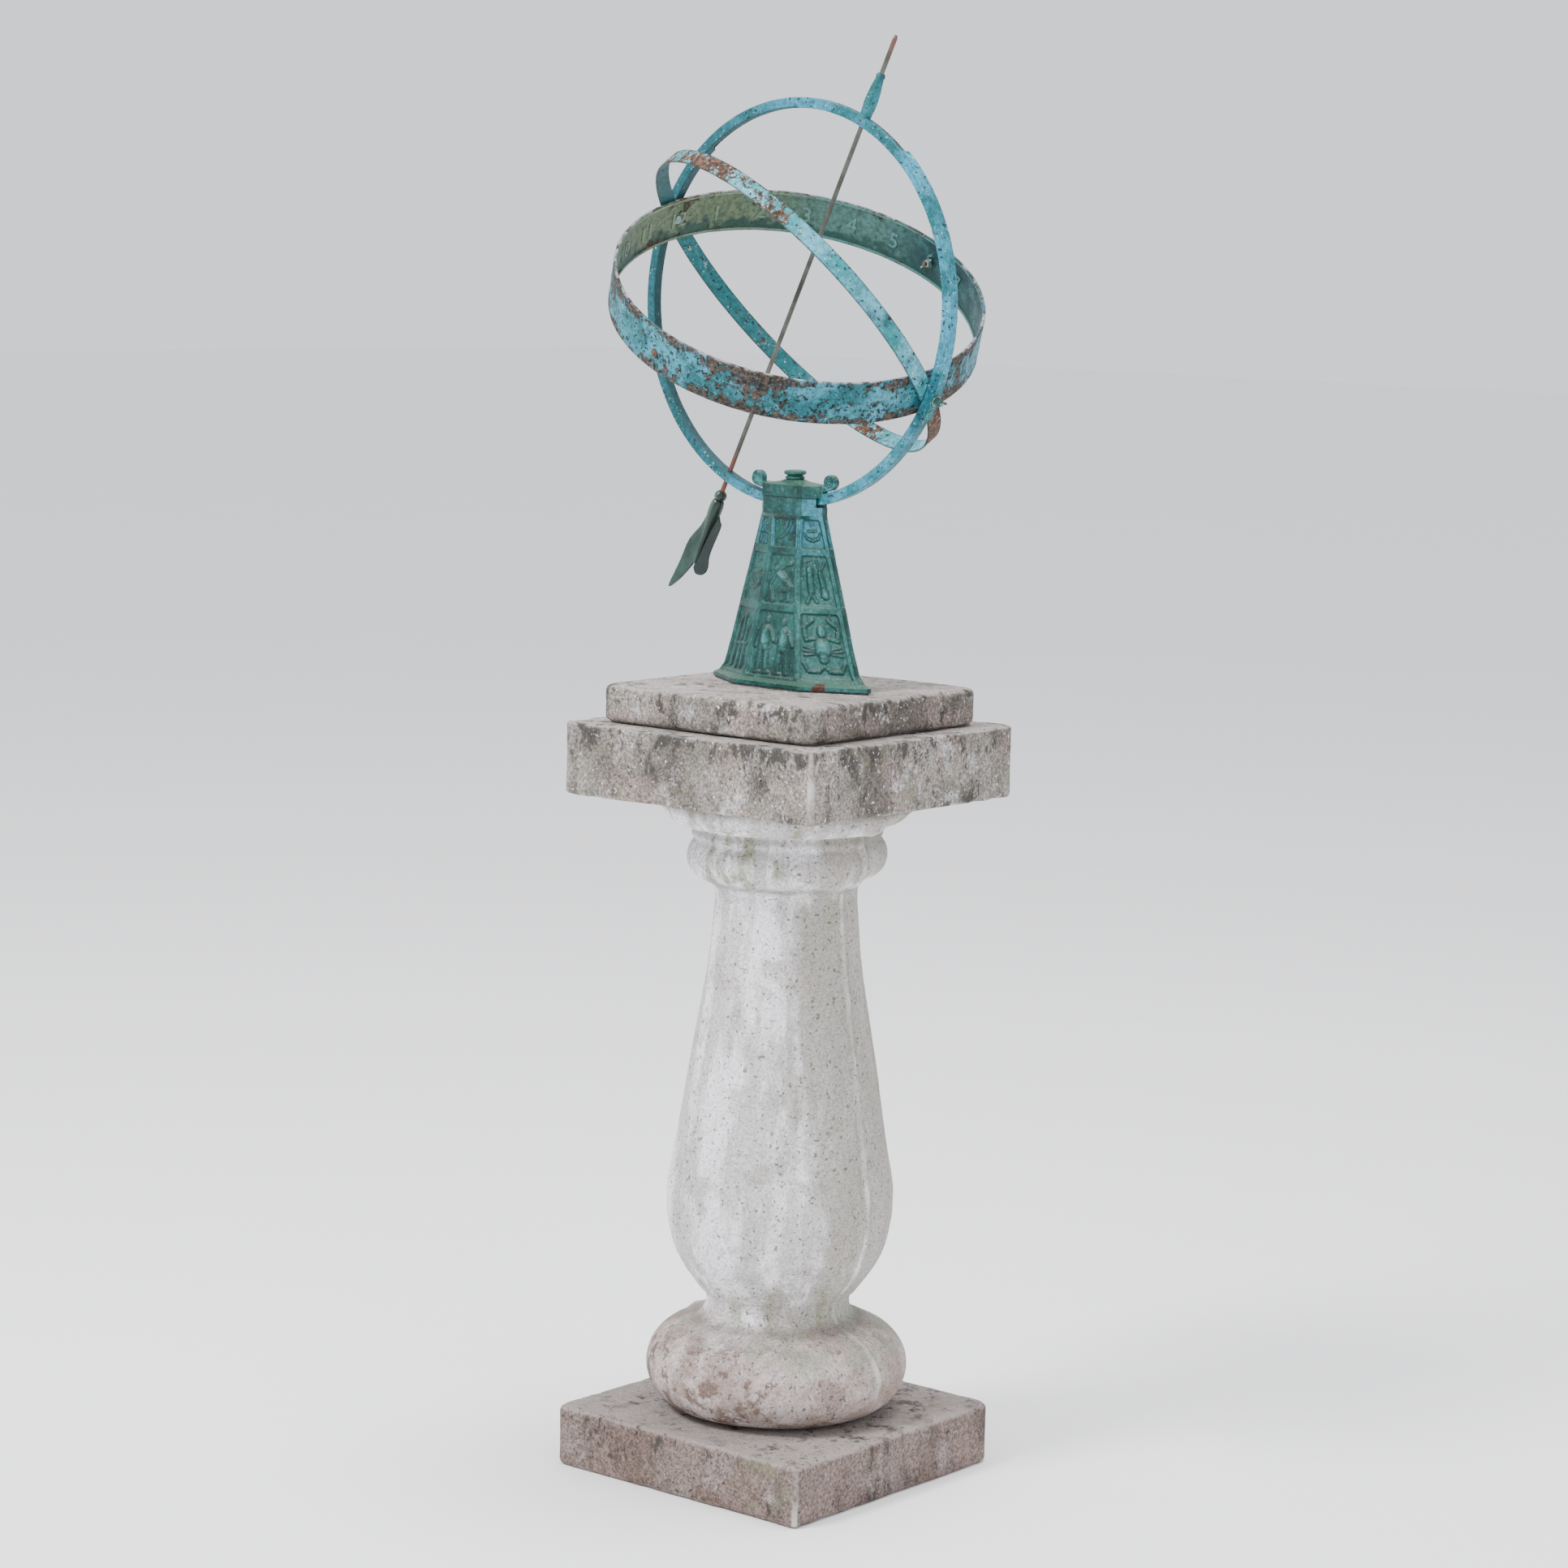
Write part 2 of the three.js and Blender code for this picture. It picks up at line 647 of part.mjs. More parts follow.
function hourBand() {
  const half = hourHeight / 2;
  const rim = half - rimHeight;
  const profile = [
    [hourRim, -half], [hourOuter, -half], [hourOuter, half], [hourRim, half], [hourRim, rim],
    [hourWeb, rim - 1.2], [hourWeb, 1.2 - rim], [hourRim, -rim], [hourRim, -half],
  ];
  const slit = new THREE.BoxGeometry(30, hourSplitGap, 200)
    .rotateX(THREE.MathUtils.degToRad(-hourSplitLean))
    .translate(hourOuter, 0, 0)
    .rotateZ(THREE.MathUtils.degToRad(hourSplitAngle));
  return cut(
    turned(profile, ringSteps),
    slit,
    nodeRod(boltRunning),
    bandHole(boltHole, 90, bandBoltHeight),
    bandHole(boltHole, 270, bandScrewHeight)
  );
}

function eclipticBand() {
  const half = eclipticHeight / 2;
  const profile = [
    [eclipticInner, -half], [eclipticOuter, -half], [eclipticOuter, half], [eclipticInner, half],
    [eclipticInner, -half],
  ];
  return cut(turned(profile, ringSteps), nodeRod(boltRunning));
}

// Places a shape made along +Z so that it points inwards through the band.
function inwardsOnBand(geometry, angle, height, start) {
  return geometry
    .rotateY(-Math.PI / 2)
    .translate(start, 0, 0)
    .rotateZ(THREE.MathUtils.degToRad(angle))
    .translate(0, 0, height);
}

function bandBolt(length) {
  const profile = [
    [0, 0], [3.4, 0.3], [4.6, 1], [4.8, 1.6], [boltRadius, 1.6], [boltRadius, length], [0, length],
  ];
  return turned(profile, 20);
}

function makeHourBand() {
  const group = new THREE.Group();
  group.rotation.x = THREE.MathUtils.degToRad(hourTilt);
  const headStart = hourOuter + GAP + 1.6;
  const nutStart = hourWeb - GAP;
  const wing = wingNut(6);
  group.add(
    piece('hour_band', hourBand(), verdigris),
    piece('band_bolt', inwardsOnBand(bandBolt(14), 90, bandBoltHeight, headStart), rustySteel),
    piece('band_wing_nut', inwardsOnBand(wing, 90, bandBoltHeight, nutStart), paleBronze),
    piece('band_screw', inwardsOnBand(bandBolt(9.5), 270, bandScrewHeight, headStart), rustySteel),
    piece('band_nut', inwardsOnBand(hexNut(8.5, boltHole, 3.2), 270, bandScrewHeight, nutStart), rustySteel)
  );
  return group;
}

// ---- gnomon: the rod, and a collar, two leaf-shaped vanes and a pin on its lower end ----
const crossPin = (radius, length) => round(radius, length).translate(0, 0, -length / 2).rotateX(Math.PI / 2);

function gnomonRod() {
  const tip = 5;
  const rod = turned(
    [[0, rodTail], [rodRadius, rodTail], [rodRadius, rodTip - tip], [1.6, rodTip], [0, rodTip]],
    smallSteps
  );
  return cut(rod, crossPin(pinRadius + GAP, 40).translate(0, 0, pinHeight));
}

function tailCollar() {
  const profile = [
    [rodHole, -260.3], [5.6, -260.3], [7.1, -258], [7.5, -255.4], [6.9, -252.4], [4.8, -249.6], [rodHole, -249.2],
    [rodHole, -260.3],
  ];
  return cut(turned(profile, 24), crossPin(pinRadius + GAP, 40).translate(0, 0, pinHeight));
}

function vane(edge, thickness, lean) {
  return plateXZ(edge, thickness).rotateZ(THREE.MathUtils.degToRad(lean));
}

function tailVanes() {
  const spine = turned(
    [[0, -346], [2.4, -345], [3.6, -325], [5.4, -300], [7.6, -284], [8.2, -274], [7.8, -266], [6, -260.6], [0, -260.6]],
    24
  );
  const longVane = [
    [0, -276], [-6, -278], [-11.7, -287], [-15, -303], [-25, -321], [-28, -334], [-29, -362], [-33, -397],
    [-20, -382], [-11, -366], [-3.5, -350], [0, -340],
  ];
  const shortVane = [
    [0, -276], [8, -279], [12, -284], [15, -291], [14.2, -327], [18, -344], [16.5, -352], [12, -356.5],
    [5, -357.5], [0, -352],
  ];
  const whole = joined(spine, vane(longVane, 2.6, -15), vane(shortVane, 2.6, 15));
  return cut(whole, round(rodHole, 20).translate(0, 0, -264));
}

function makeGnomon() {
  const group = new THREE.Group();
  group.position.x = rodOffset;
  group.add(
    piece('gnomon_rod', gnomonRod(), rodSteel),
    piece('tail_collar', tailCollar(), darkBronze),
    piece('tail_vanes', tailVanes(), darkBronze),
    piece('tail_pin', crossPin(pinRadius, 14.4).translate(0, 0, pinHeight), rustySteel)
  );
  return group;
}

// ---- the whole sphere ----
function makeSphere() {
  const group = new THREE.Group();
  group.position.set(sphereX, 0, sphereZ);
  group.rotation.y = polarTurn;
  const upperNode = makeNode('upper', ringOuter);
  upperNode.rotation.y = -Math.PI / 2;
  const lowerNode = makeNode('lower', ringOuter + GAP + stripThickness);
  lowerNode.rotation.y = Math.PI / 2;
  const ecliptic = piece('ecliptic_band', eclipticBand(), verdigris);
  ecliptic.rotation.x = THREE.MathUtils.degToRad(eclipticTilt);
  group.add(
    piece('meridian_ring', meridianRing(), verdigris),
    piece('splice_strip', spliceStrip(), verdigris),
    piece('strip_rivet', stripRivet(), verdigris),
    piece('point_boss', pointBoss(), verdigris),
    upperNode,
    lowerNode,
    makeHourBand(),
    ecliptic,
    makeGnomon()
  );
  ['lower', 'upper'].forEach((name, i) => {
    const screw = setScrewShape(0).translate(rodOffset, 0, (i * 2 - 1) * setScrewHeight);
    group.add(piece(`rod_set_screw_${name}`, screw, rustySteel));
  });
  return group;
}

const armillarySphere = new THREE.Group();
armillarySphere.add(makePedestal(), makePillar(), makeSphere());

export default armillarySphere;
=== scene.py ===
"""Looks of the armillary sundial: weathered stone pedestal, relief pillar, patinated rings and gnomon."""
import json
import math

import bmesh
import bpy
import numpy as np
from mathutils import Matrix, Vector


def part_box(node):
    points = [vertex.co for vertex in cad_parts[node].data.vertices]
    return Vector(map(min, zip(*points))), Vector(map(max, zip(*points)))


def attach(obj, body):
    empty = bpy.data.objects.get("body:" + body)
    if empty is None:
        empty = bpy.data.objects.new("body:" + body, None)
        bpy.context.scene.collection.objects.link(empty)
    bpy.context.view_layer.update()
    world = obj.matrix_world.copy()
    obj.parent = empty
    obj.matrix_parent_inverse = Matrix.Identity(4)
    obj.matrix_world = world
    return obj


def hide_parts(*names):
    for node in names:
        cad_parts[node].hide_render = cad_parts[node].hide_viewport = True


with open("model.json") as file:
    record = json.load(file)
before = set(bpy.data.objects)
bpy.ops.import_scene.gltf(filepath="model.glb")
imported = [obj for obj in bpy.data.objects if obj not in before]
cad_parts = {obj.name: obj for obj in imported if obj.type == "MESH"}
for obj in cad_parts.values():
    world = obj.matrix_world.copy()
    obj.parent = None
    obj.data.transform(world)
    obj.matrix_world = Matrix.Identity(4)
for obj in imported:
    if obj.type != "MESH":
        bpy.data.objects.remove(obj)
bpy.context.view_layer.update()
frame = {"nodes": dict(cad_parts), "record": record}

MM = 0.001
BEHAVIOUR = frame["record"]["behaviour"]
JOINTS = {joint["name"]: joint for joint in BEHAVIOUR["joints"]}

# ---- places, from the frame ----
CENTRE = Vector(JOINTS["hour_band_tilt"]["pos_m"])
NODE_AXIS = Vector(JOINTS["hour_band_tilt"]["axis"]).normalized()
POLAR_AXIS = Vector(JOINTS["gnomon_turn"]["axis"]).normalized()
ROD_POINT = Vector(JOINTS["gnomon_turn"]["pos_m"])
ACROSS = POLAR_AXIS.cross(NODE_AXIS).normalized()
POLAR_TILT = math.atan2(POLAR_AXIS.x, POLAR_AXIS.z)
# How far each band is tipped about the node axis, and the stones turned about Z, in the photo.
HOUR_TILT = math.radians(15.4)
ECLIPTIC_TILT = math.radians(-42.3)
STONE_TURN = math.radians(2.4)
SLAB_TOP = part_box("upper_slab")[1].z
RING_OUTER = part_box("meridian_ring")[1].z - CENTRE.z
RING_BAR = 12 * MM
RING_INNER = RING_OUTER - RING_BAR
RING_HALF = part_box("meridian_ring")[1].y

# ---- design sizes, in metres ----
# The hour band: outer and inner radius, the inner radius of its beaded borders, half its width and the
# height of a border; then its open joint, which leans across the band.
HOUR_OUTER = 215.5 * MM
HOUR_WEB = 213 * MM
HOUR_RIM = 211.8 * MM
HOUR_HALF = 26.8 * MM
HOUR_RIM_HEIGHT = 4 * MM
SPLIT_ANGLE = math.radians(40)
SPLIT_LEAN = math.radians(61)
SPLIT_GAP = 4 * MM
# The ecliptic band: its two radii and half its width.
ECLIPTIC_OUTER = 220.8 * MM
ECLIPTIC_INNER = 218.6 * MM
ECLIPTIC_HALF = 10.1 * MM
# The meridian ring: where its bar is thinner at the crown and by how much, then where its two ends are.
CROWN_START = math.radians(48)
CROWN_END = math.radians(128)
CROWN_CUT = 4 * MM
RING_START = math.radians(-80.2)
RING_END = math.radians(261.6)
BAND_SPACING = 1.3 * MM
# The hour numbers: their height, the share of a letter's size that a digit takes up, and the hour's angle.
NUMERAL_HEIGHT = 19 * MM
DIGIT_SHARE = 0.70
HOUR_STEP = math.radians(15)

# ---- camera: metres from the pedestal's axis and over the floor, then angles ----
VIEW_AZIMUTH = math.radians(42)
CAMERA_DISTANCE = 4.76697
CAMERA_HEIGHT = 1.47004
CAMERA_PAN = -0.0011424
CAMERA_PITCH = 0.13624
CAMERA_ROLL = 0.0212214
CAMERA_LENS = 94.59


# ---- seeded noise ----
def lattice_value(cell, seed):
    """A fixed value from -1 to 1 for each whole-number cell, mixed from its three numbers and the seed."""
    x, y, z = (cell[:, i].astype(np.int64) for i in range(3))
    h = (x * 73856093) ^ (y * 19349663) ^ (z * 83492791) ^ (seed * 2654435761)
    h = (h ^ (h >> 13)) * 1274126177
    return ((h ^ (h >> 16)) & 0xFFFF) / 32767.5 - 1.0


def noise(points, size, seed=0):
    """Smooth noise from -1 to 1 with features of about that size, at each point."""
    q = np.asarray(points, float) / size
    cell = np.floor(q).astype(np.int64)
    f = q - cell
    f = f * f * (3 - 2 * f)
    total = np.zeros(len(q))
    for corner in range(8):
        offset = np.array([corner & 1, corner >> 1 & 1, corner >> 2 & 1])
        weight = np.prod(np.where(offset, f, 1 - f), axis=1)
        total += weight * lattice_value(cell + offset, seed)
    return total


def rough(points, size, octaves=3, seed=0):
    """Noise with finer and weaker layers on top."""
    total = np.zeros(len(points))
    for i in range(octaves):
        total += noise(points, size / 2**i, seed + i) / 2**i
    return total / (2 - 0.5 ** (octaves - 1))


def step(low, high, value):
    """0 below low and 1 above high, smoothly; the other way round if high is the lower."""
    t = np.clip((np.asarray(value, float) - low) / (high - low), 0, 1)
    return t * t * (3 - 2 * t)


# ---- meshes ----
def linked(name, data):
    """A new object in the scene for a mesh, curve, light or camera."""
    obj = bpy.data.objects.new(name, data)
    bpy.context.scene.collection.objects.link(obj)
    return obj


def new_object(name, vertices, faces):
    """A smooth-shaded mesh in the scene."""
    mesh = bpy.data.meshes.new(name)
    mesh.from_pydata([tuple(v) for v in vertices], [], [tuple(int(i) for i in f) for f in faces])
    mesh.validate()
    mesh.update()
    mesh.polygons.foreach_set("use_smooth", [True] * len(mesh.polygons))
    return linked(name, mesh)


def coordinates(obj):
    """The mesh's points as an array, one row each."""
    co = np.zeros(len(obj.data.vertices) * 3)
    obj.data.vertices.foreach_get("co", co)
    return co.reshape(-1, 3)


def normals(obj):
    no = np.zeros(len(obj.data.vertices) * 3, np.float32)
    obj.data.vertex_normals.foreach_get("vector", no)
    return no.reshape(-1, 3).astype(float)


def set_coordinates(obj, co):
    obj.data.vertices.foreach_set("co", np.asarray(co, float).ravel())
    obj.data.update()


def push_out(obj, points, heights):
    """Puts the vertices at these points, each moved out along its normal by a height in metres."""
    set_coordinates(obj, points + normals(obj) * heights[:, None])


def roughen(obj, size, octaves, seed, depth):
    """Moves the vertices in and out by seeded noise up to a depth."""
    points = coordinates(obj)
    push_out(obj, points, rough(points, size, octaves, seed) * depth)


def transform(obj, matrix):
    obj.data.transform(matrix)
    obj.data.update()


def axes_at(x, y, z, place):
    """The matrix that puts a shape's own axes along these, at a place."""
    rows = [(x[i], y[i], z[i], place[i]) for i in range(3)]
    return Matrix((*rows, (0, 0, 0, 1)))


def lattice(name, grid, closed_rows=False, closed_columns=True, caps=True):
    """A mesh over a grid of points [row][column]."""
    grid = np.asarray(grid, float)
    rows, columns = grid.shape[:2]
    last_row = rows if closed_rows else rows - 1
    last_column = columns if closed_columns else columns - 1
    r = np.arange(last_row)[:, None]
    c = np.arange(last_column)[None, :]
    a = r * columns + c
    b = r * columns + (c + 1) % columns
    d = ((r + 1) % rows) * columns + c
    e = ((r + 1) % rows) * columns + (c + 1) % columns
    faces = np.stack([a, b, e, d], axis=-1).reshape(-1, 4).tolist()
    if caps and closed_columns and not closed_rows:
        faces.append(list(range(columns))[::-1])
        faces.append([(rows - 1) * columns + i for i in range(columns)])
    return new_object(name, grid.reshape(-1, 3), faces)


def fine_path(points, spacing, closed=False):
    """Points every so often along straight stretches between the given ones."""
    points = [np.asarray(p, float) for p in points]
    if closed:
        points.append(points[0])
    result = []
    for start, end in zip(points[:-1], points[1:]):
        count = max(1, round(float(np.linalg.norm(end - start)) / spacing))
        result += [start + (end - start) * i / count for i in range(count)]
    if not closed:
        result.append(points[-1])
    return np.array(result)


def smooth_path(knots, spacing):
    """A Catmull-Rom curve through the knots, sampled evenly enough."""
    k = np.asarray(knots, float)
    k = np.vstack([2 * k[0] - k[1], k, 2 * k[-1] - k[-2]])
    result = []
    for i in range(1, len(k) - 2):
        count = max(2, round(float(np.linalg.norm(k[i + 1] - k[i])) / spacing))
        t = np.arange(count)[:, None] / count
        a = 2 * k[i]
        b = k[i + 1] - k[i - 1]
        c = 2 * k[i - 1] - 5 * k[i] + 4 * k[i + 1] - k[i + 2]
        d = -k[i - 1] + 3 * k[i] - 3 * k[i + 1] + k[i + 2]
        result.append(0.5 * (a + b * t + c * t**2 + d * t**3))
    return np.vstack(result + [k[-2][None]])


def arc(x, y, radius, start, end, count):
    """Points along part of a circle round (x, y), from one angle to another in degrees."""
    t = np.radians(np.linspace(start, end, count + 1))
    return np.stack([x + radius * np.cos(t), y + radius * np.sin(t)], axis=1)


def turned(name, profile, columns, caps=False, closed=False):
    """A shape turned about Z from (radius, height) points; closed joins the last point to the first."""
    profile = np.asarray(profile, float)
    t = np.arange(columns) / columns * 2 * math.pi
    ring = np.stack([np.cos(t), np.sin(t), np.zeros(columns)], axis=1)
    grid = profile[:, 0][:, None, None] * ring + np.array([0, 0, 1]) * profile[:, 1][:, None, None]
    return lattice(name, grid, closed_rows=closed, caps=caps)


def bevelled_box_path(low_x, high_x, low_y, high_y, radius, count=3):
    """A closed outline of a rectangle with rounded corners, anticlockwise."""
    corners = [(high_x, high_y, 0), (low_x, high_y, 90), (low_x, low_y, 180), (high_x, low_y, 270)]
    points = []
    for x, y, start in corners:
        cx = x - radius if x == high_x else x + radius
        cy = y - radius if y == high_y else y + radius
        points.append(arc(cx, cy, radius, start, start + 90, count))
    return np.vstack(points)


def remeshed(name, parts, voxel, smoothing=2):
    """The parts joined into one cast-looking skin."""
    whole = parts[0]
    whole.name = name
    chosen = {"active_object": whole, "selected_objects": parts, "selected_editable_objects": parts}
    with bpy.context.temp_override(**chosen):
        bpy.ops.object.join()
    remesh = whole.modifiers.new("remesh", "REMESH")
    remesh.mode = "VOXEL"
    remesh.voxel_size = voxel
    remesh.use_smooth_shade = True
    relax = whole.modifiers.new("smooth", "SMOOTH")
    relax.iterations = smoothing
    relax.factor = 0.5
    return applied(whole)


def applied(obj):
    """The same object with its modifiers made into its mesh."""
    graph = bpy.context.evaluated_depsgraph_get()
    mesh = bpy.data.meshes.new_from_object(obj.evaluated_get(graph))
    obj.modifiers.clear()
    old = obj.data
    obj.data = mesh
    bpy.data.meshes.remove(old)
    return obj


def extruded(name, outline, thickness):
    """A flat outline in XZ, thick along Y and centred on it."""
    outline = np.asarray(outline, float)
    front = np.stack([outline[:, 0], np.full(len(outline), -thickness / 2), outline[:, 1]], axis=1)
    back = front + np.array([0, thickness, 0])
    return lattice(name, np.stack([front, back]))


# ---- materials ----
class Look:
    """A material built from nodes, with short names for the nodes that the looks here need."""

    def __init__(self, name):
        self.material = bpy.data.materials.new(name)
        self.material.use_nodes = True
        self.tree = self.material.node_tree
        self.shader = self.tree.nodes["Principled BSDF"]
        texture = self.node("ShaderNodeTexCoord")
        self.place = texture.outputs["Object"]
        self.normal = texture.outputs["Normal"]

    def node(self, kind, **settings):
        made = self.tree.nodes.new(kind)
        for key, value in settings.items():
            setattr(made, key, value)
        return made

    def plug(self, socket, value):
        if isinstance(value, bpy.types.NodeSocket):
            self.tree.links.new(value, socket)
        elif isinstance(value, (tuple, list)) and len(value) == 3 and socket.type == "RGBA":
            socket.default_value = (*value, 1)
        else:
            socket.default_value = value

    def moved(self, stretch=(1, 1, 1), offset=(0, 0, 0)):
        mapping = self.node("ShaderNodeMapping")
        self.plug(mapping.inputs["Vector"], self.place)
        mapping.inputs["Scale"].default_value = stretch
        mapping.inputs["Location"].default_value = offset
        return mapping.outputs["Vector"]

    def noise(self, size, detail=5, roughness=0.55, stretch=(1, 1, 1), offset=(0, 0, 0)):
        """Clouds whose largest features are of about that size."""
        made = self.node("ShaderNodeTexNoise")
        self.plug(made.inputs["Vector"], self.moved(stretch, offset))
        made.inputs["Scale"].default_value = 1 / size
        made.inputs["Detail"].default_value = detail
        made.inputs["Roughness"].default_value = roughness
        return made.outputs["Fac"]

    def math(self, operation, a, b=0.0, clamp=False):
        made = self.node("ShaderNodeMath", operation=operation, use_clamp=clamp)
        self.plug(made.inputs[0], a)
        self.plug(made.inputs[1], b)
        return made.outputs[0]

    def plus(self, a, b, clamp=False):
        return self.math("ADD", a, b, clamp)

    def minus(self, a, b):
        return self.math("SUBTRACT", a, b)

    def times(self, a, b):
        return self.math("MULTIPLY", a, b)

    def fade(self, value, low, high):
        """0 below low and 1 above high, smoothly; the other way round if high is the lower."""
        made = self.node("ShaderNodeMapRange", interpolation_type="SMOOTHSTEP")
        self.plug(made.inputs["Value"], value)
        flip = high < low
        made.inputs["From Min"].default_value = min(low, high)
        made.inputs["From Max"].default_value = max(low, high)
        made.inputs["To Min"].default_value = 1.0 if flip else 0.0
        made.inputs["To Max"].default_value = 0.0 if flip else 1.0
        return made.outputs["Result"]

    def spots(self, low, high, size, detail=5, roughness=0.55, **place):
        """Patches where the noise is high: 0 under low and 1 over high."""
        return self.fade(self.noise(size, detail, roughness, **place), low, high)

    def mix(self, factor, a, b):
        made = self.node("ShaderNodeMix", data_type="RGBA")
        self.plug(made.inputs[0], factor)
        self.plug(made.inputs[6], a)
        self.plug(made.inputs[7], b)
        return made.outputs[2]

    def tint(self, base, color, mask, strength=None):
        """The base with a colour over it where the mask is 1, as strongly as given."""
        return self.mix(mask if strength is None else self.times(mask, strength), base, color)

    def shade(self, color, factor):
        """The colour made darker or lighter by a factor round 1."""
        made = self.node("ShaderNodeVectorMath", operation="SCALE")
        self.plug(made.inputs[0], color)
        self.plug(made.inputs["Scale"], factor)
        return made.outputs["Vector"]

    def along(self, direction, origin=(0, 0, 0), source=None):
        """The distance of a point from the origin, along a direction."""
        shifted = self.node("ShaderNodeVectorMath", operation="SUBTRACT")
        self.plug(shifted.inputs[0], source or self.place)
        shifted.inputs[1].default_value = origin
        dot = self.node("ShaderNodeVectorMath", operation="DOT_PRODUCT")
        self.plug(dot.inputs[0], shifted.outputs[0])
        dot.inputs[1].default_value = direction
        return dot.outputs["Value"]

    def facing(self, direction):
        """How far the surface faces a direction, from -1 to 1."""
        return self.along(direction, source=self.normal)

    def painted(self, name):
        """A number kept on the mesh's own points."""
        return self.node("ShaderNodeAttribute", attribute_name=name).outputs["Fac"]

    def finish(self, color, roughness, height=None, depth=0.001, strength=0.6, metallic=0.0, gloss=0.5):
        """Fills the shader; height, up to a depth in metres, makes the surface uneven."""
        self.plug(self.shader.inputs["Base Color"], color)
        self.shader.inputs["Specular IOR Level"].default_value = gloss
        self.plug(self.shader.inputs["Roughness"], roughness)
        self.shader.inputs["Metallic"].default_value = metallic
        if height is not None:
            bump = self.node("ShaderNodeBump")
            bump.inputs["Strength"].default_value = strength
            bump.inputs["Distance"].default_value = depth
            self.plug(bump.inputs["Height"], height)
            self.tree.links.new(bump.outputs["Normal"], self.shader.inputs["Normal"])
        return self.material


def slab_stone():
    """Grey-brown cast stone with black lichen, pinkish patches and pale grit; browner at the plinth."""
    look = Look("slab_stone")
    cloud = look.noise(0.10, 6, 0.6)
    base = look.mix(look.fade(cloud, 0.38, 0.62), (0.12, 0.102, 0.084), (0.27, 0.245, 0.22))
    pink = look.spots(0.48, 0.66, 0.07, 4, 0.5, offset=(3, 1, 2))
    base = look.tint(base, (0.33, 0.25, 0.225), pink, 0.5)
    white = look.spots(0.54, 0.66, 0.045, 6, 0.75, offset=(6, 3, 1))
    base = look.tint(base, (0.55, 0.54, 0.56), white, 0.65)
    plinth = look.fade(look.along((0, 0, 1)), 0.12, 0.10)
    base = look.tint(base, (0.165, 0.098, 0.082), plinth, 0.62)
    grit = look.noise(0.0035, 4, 0.75)
    base = look.mix(look.fade(grit, 0.38, 0.62), look.shade(base, 0.5), look.shade(base, 1.4))
    up = look.fade(look.facing((0, 0, 1)), 0.3, 0.9)
    base = look.tint(base, (0.40, 0.36, 0.34), up, 0.5)
    drips = look.spots(0.52, 0.64, 0.03, 6, 0.7, stretch=(1, 1, 0.35), offset=(5, 5, 1))
    right = look.fade(look.facing((0.669, -0.743, 0)), -0.6, 0.2)
    patch = look.spots(0.47, 0.60, 0.085, 5, 0.65, offset=(1, 8, 2))
    stain = look.times(drips, look.plus(look.times(patch, 0.6), look.times(right, 0.5), clamp=True))
    crust = look.noise(0.02, 6, 0.75, stretch=(1, 1, 0.6), offset=(2, 6, 3))
    crust = look.plus(crust, look.times(look.painted("weathered"), 0.11))
    stain = look.plus(stain, look.fade(crust, 0.585, 0.66), clamp=True)
    base = look.tint(base, (0.035, 0.032, 0.027), stain, 0.9)
    lichen = look.spots(0.60, 0.655, 0.006, 3, 0.6, offset=(7, 3, 5))
    base = look.tint(base, (0.018, 0.017, 0.015), lichen, look.plus(look.times(patch, 0.65), 0.25))
    green = look.spots(0.58, 0.70, 0.05, 4, 0.6, offset=(4, 2, 9))
    base = look.tint(base, (0.17, 0.18, 0.10), green, 0.4)
    pale = look.spots(0.635, 0.69, 0.005, 3, 0.6, offset=(2, 9, 4))
    pale = look.times(pale, look.minus(0.85, look.times(plinth, 0.6)))
    base = look.tint(base, (0.70, 0.69, 0.68), pale)
    base = look.tint(base, (0.58, 0.56, 0.54), look.painted("edge"))
    height = look.plus(grit, look.times(look.noise(0.012, 4, 0.6), 1.5))
    return look.finish(base, 0.93, height, 0.0016, 0.9)


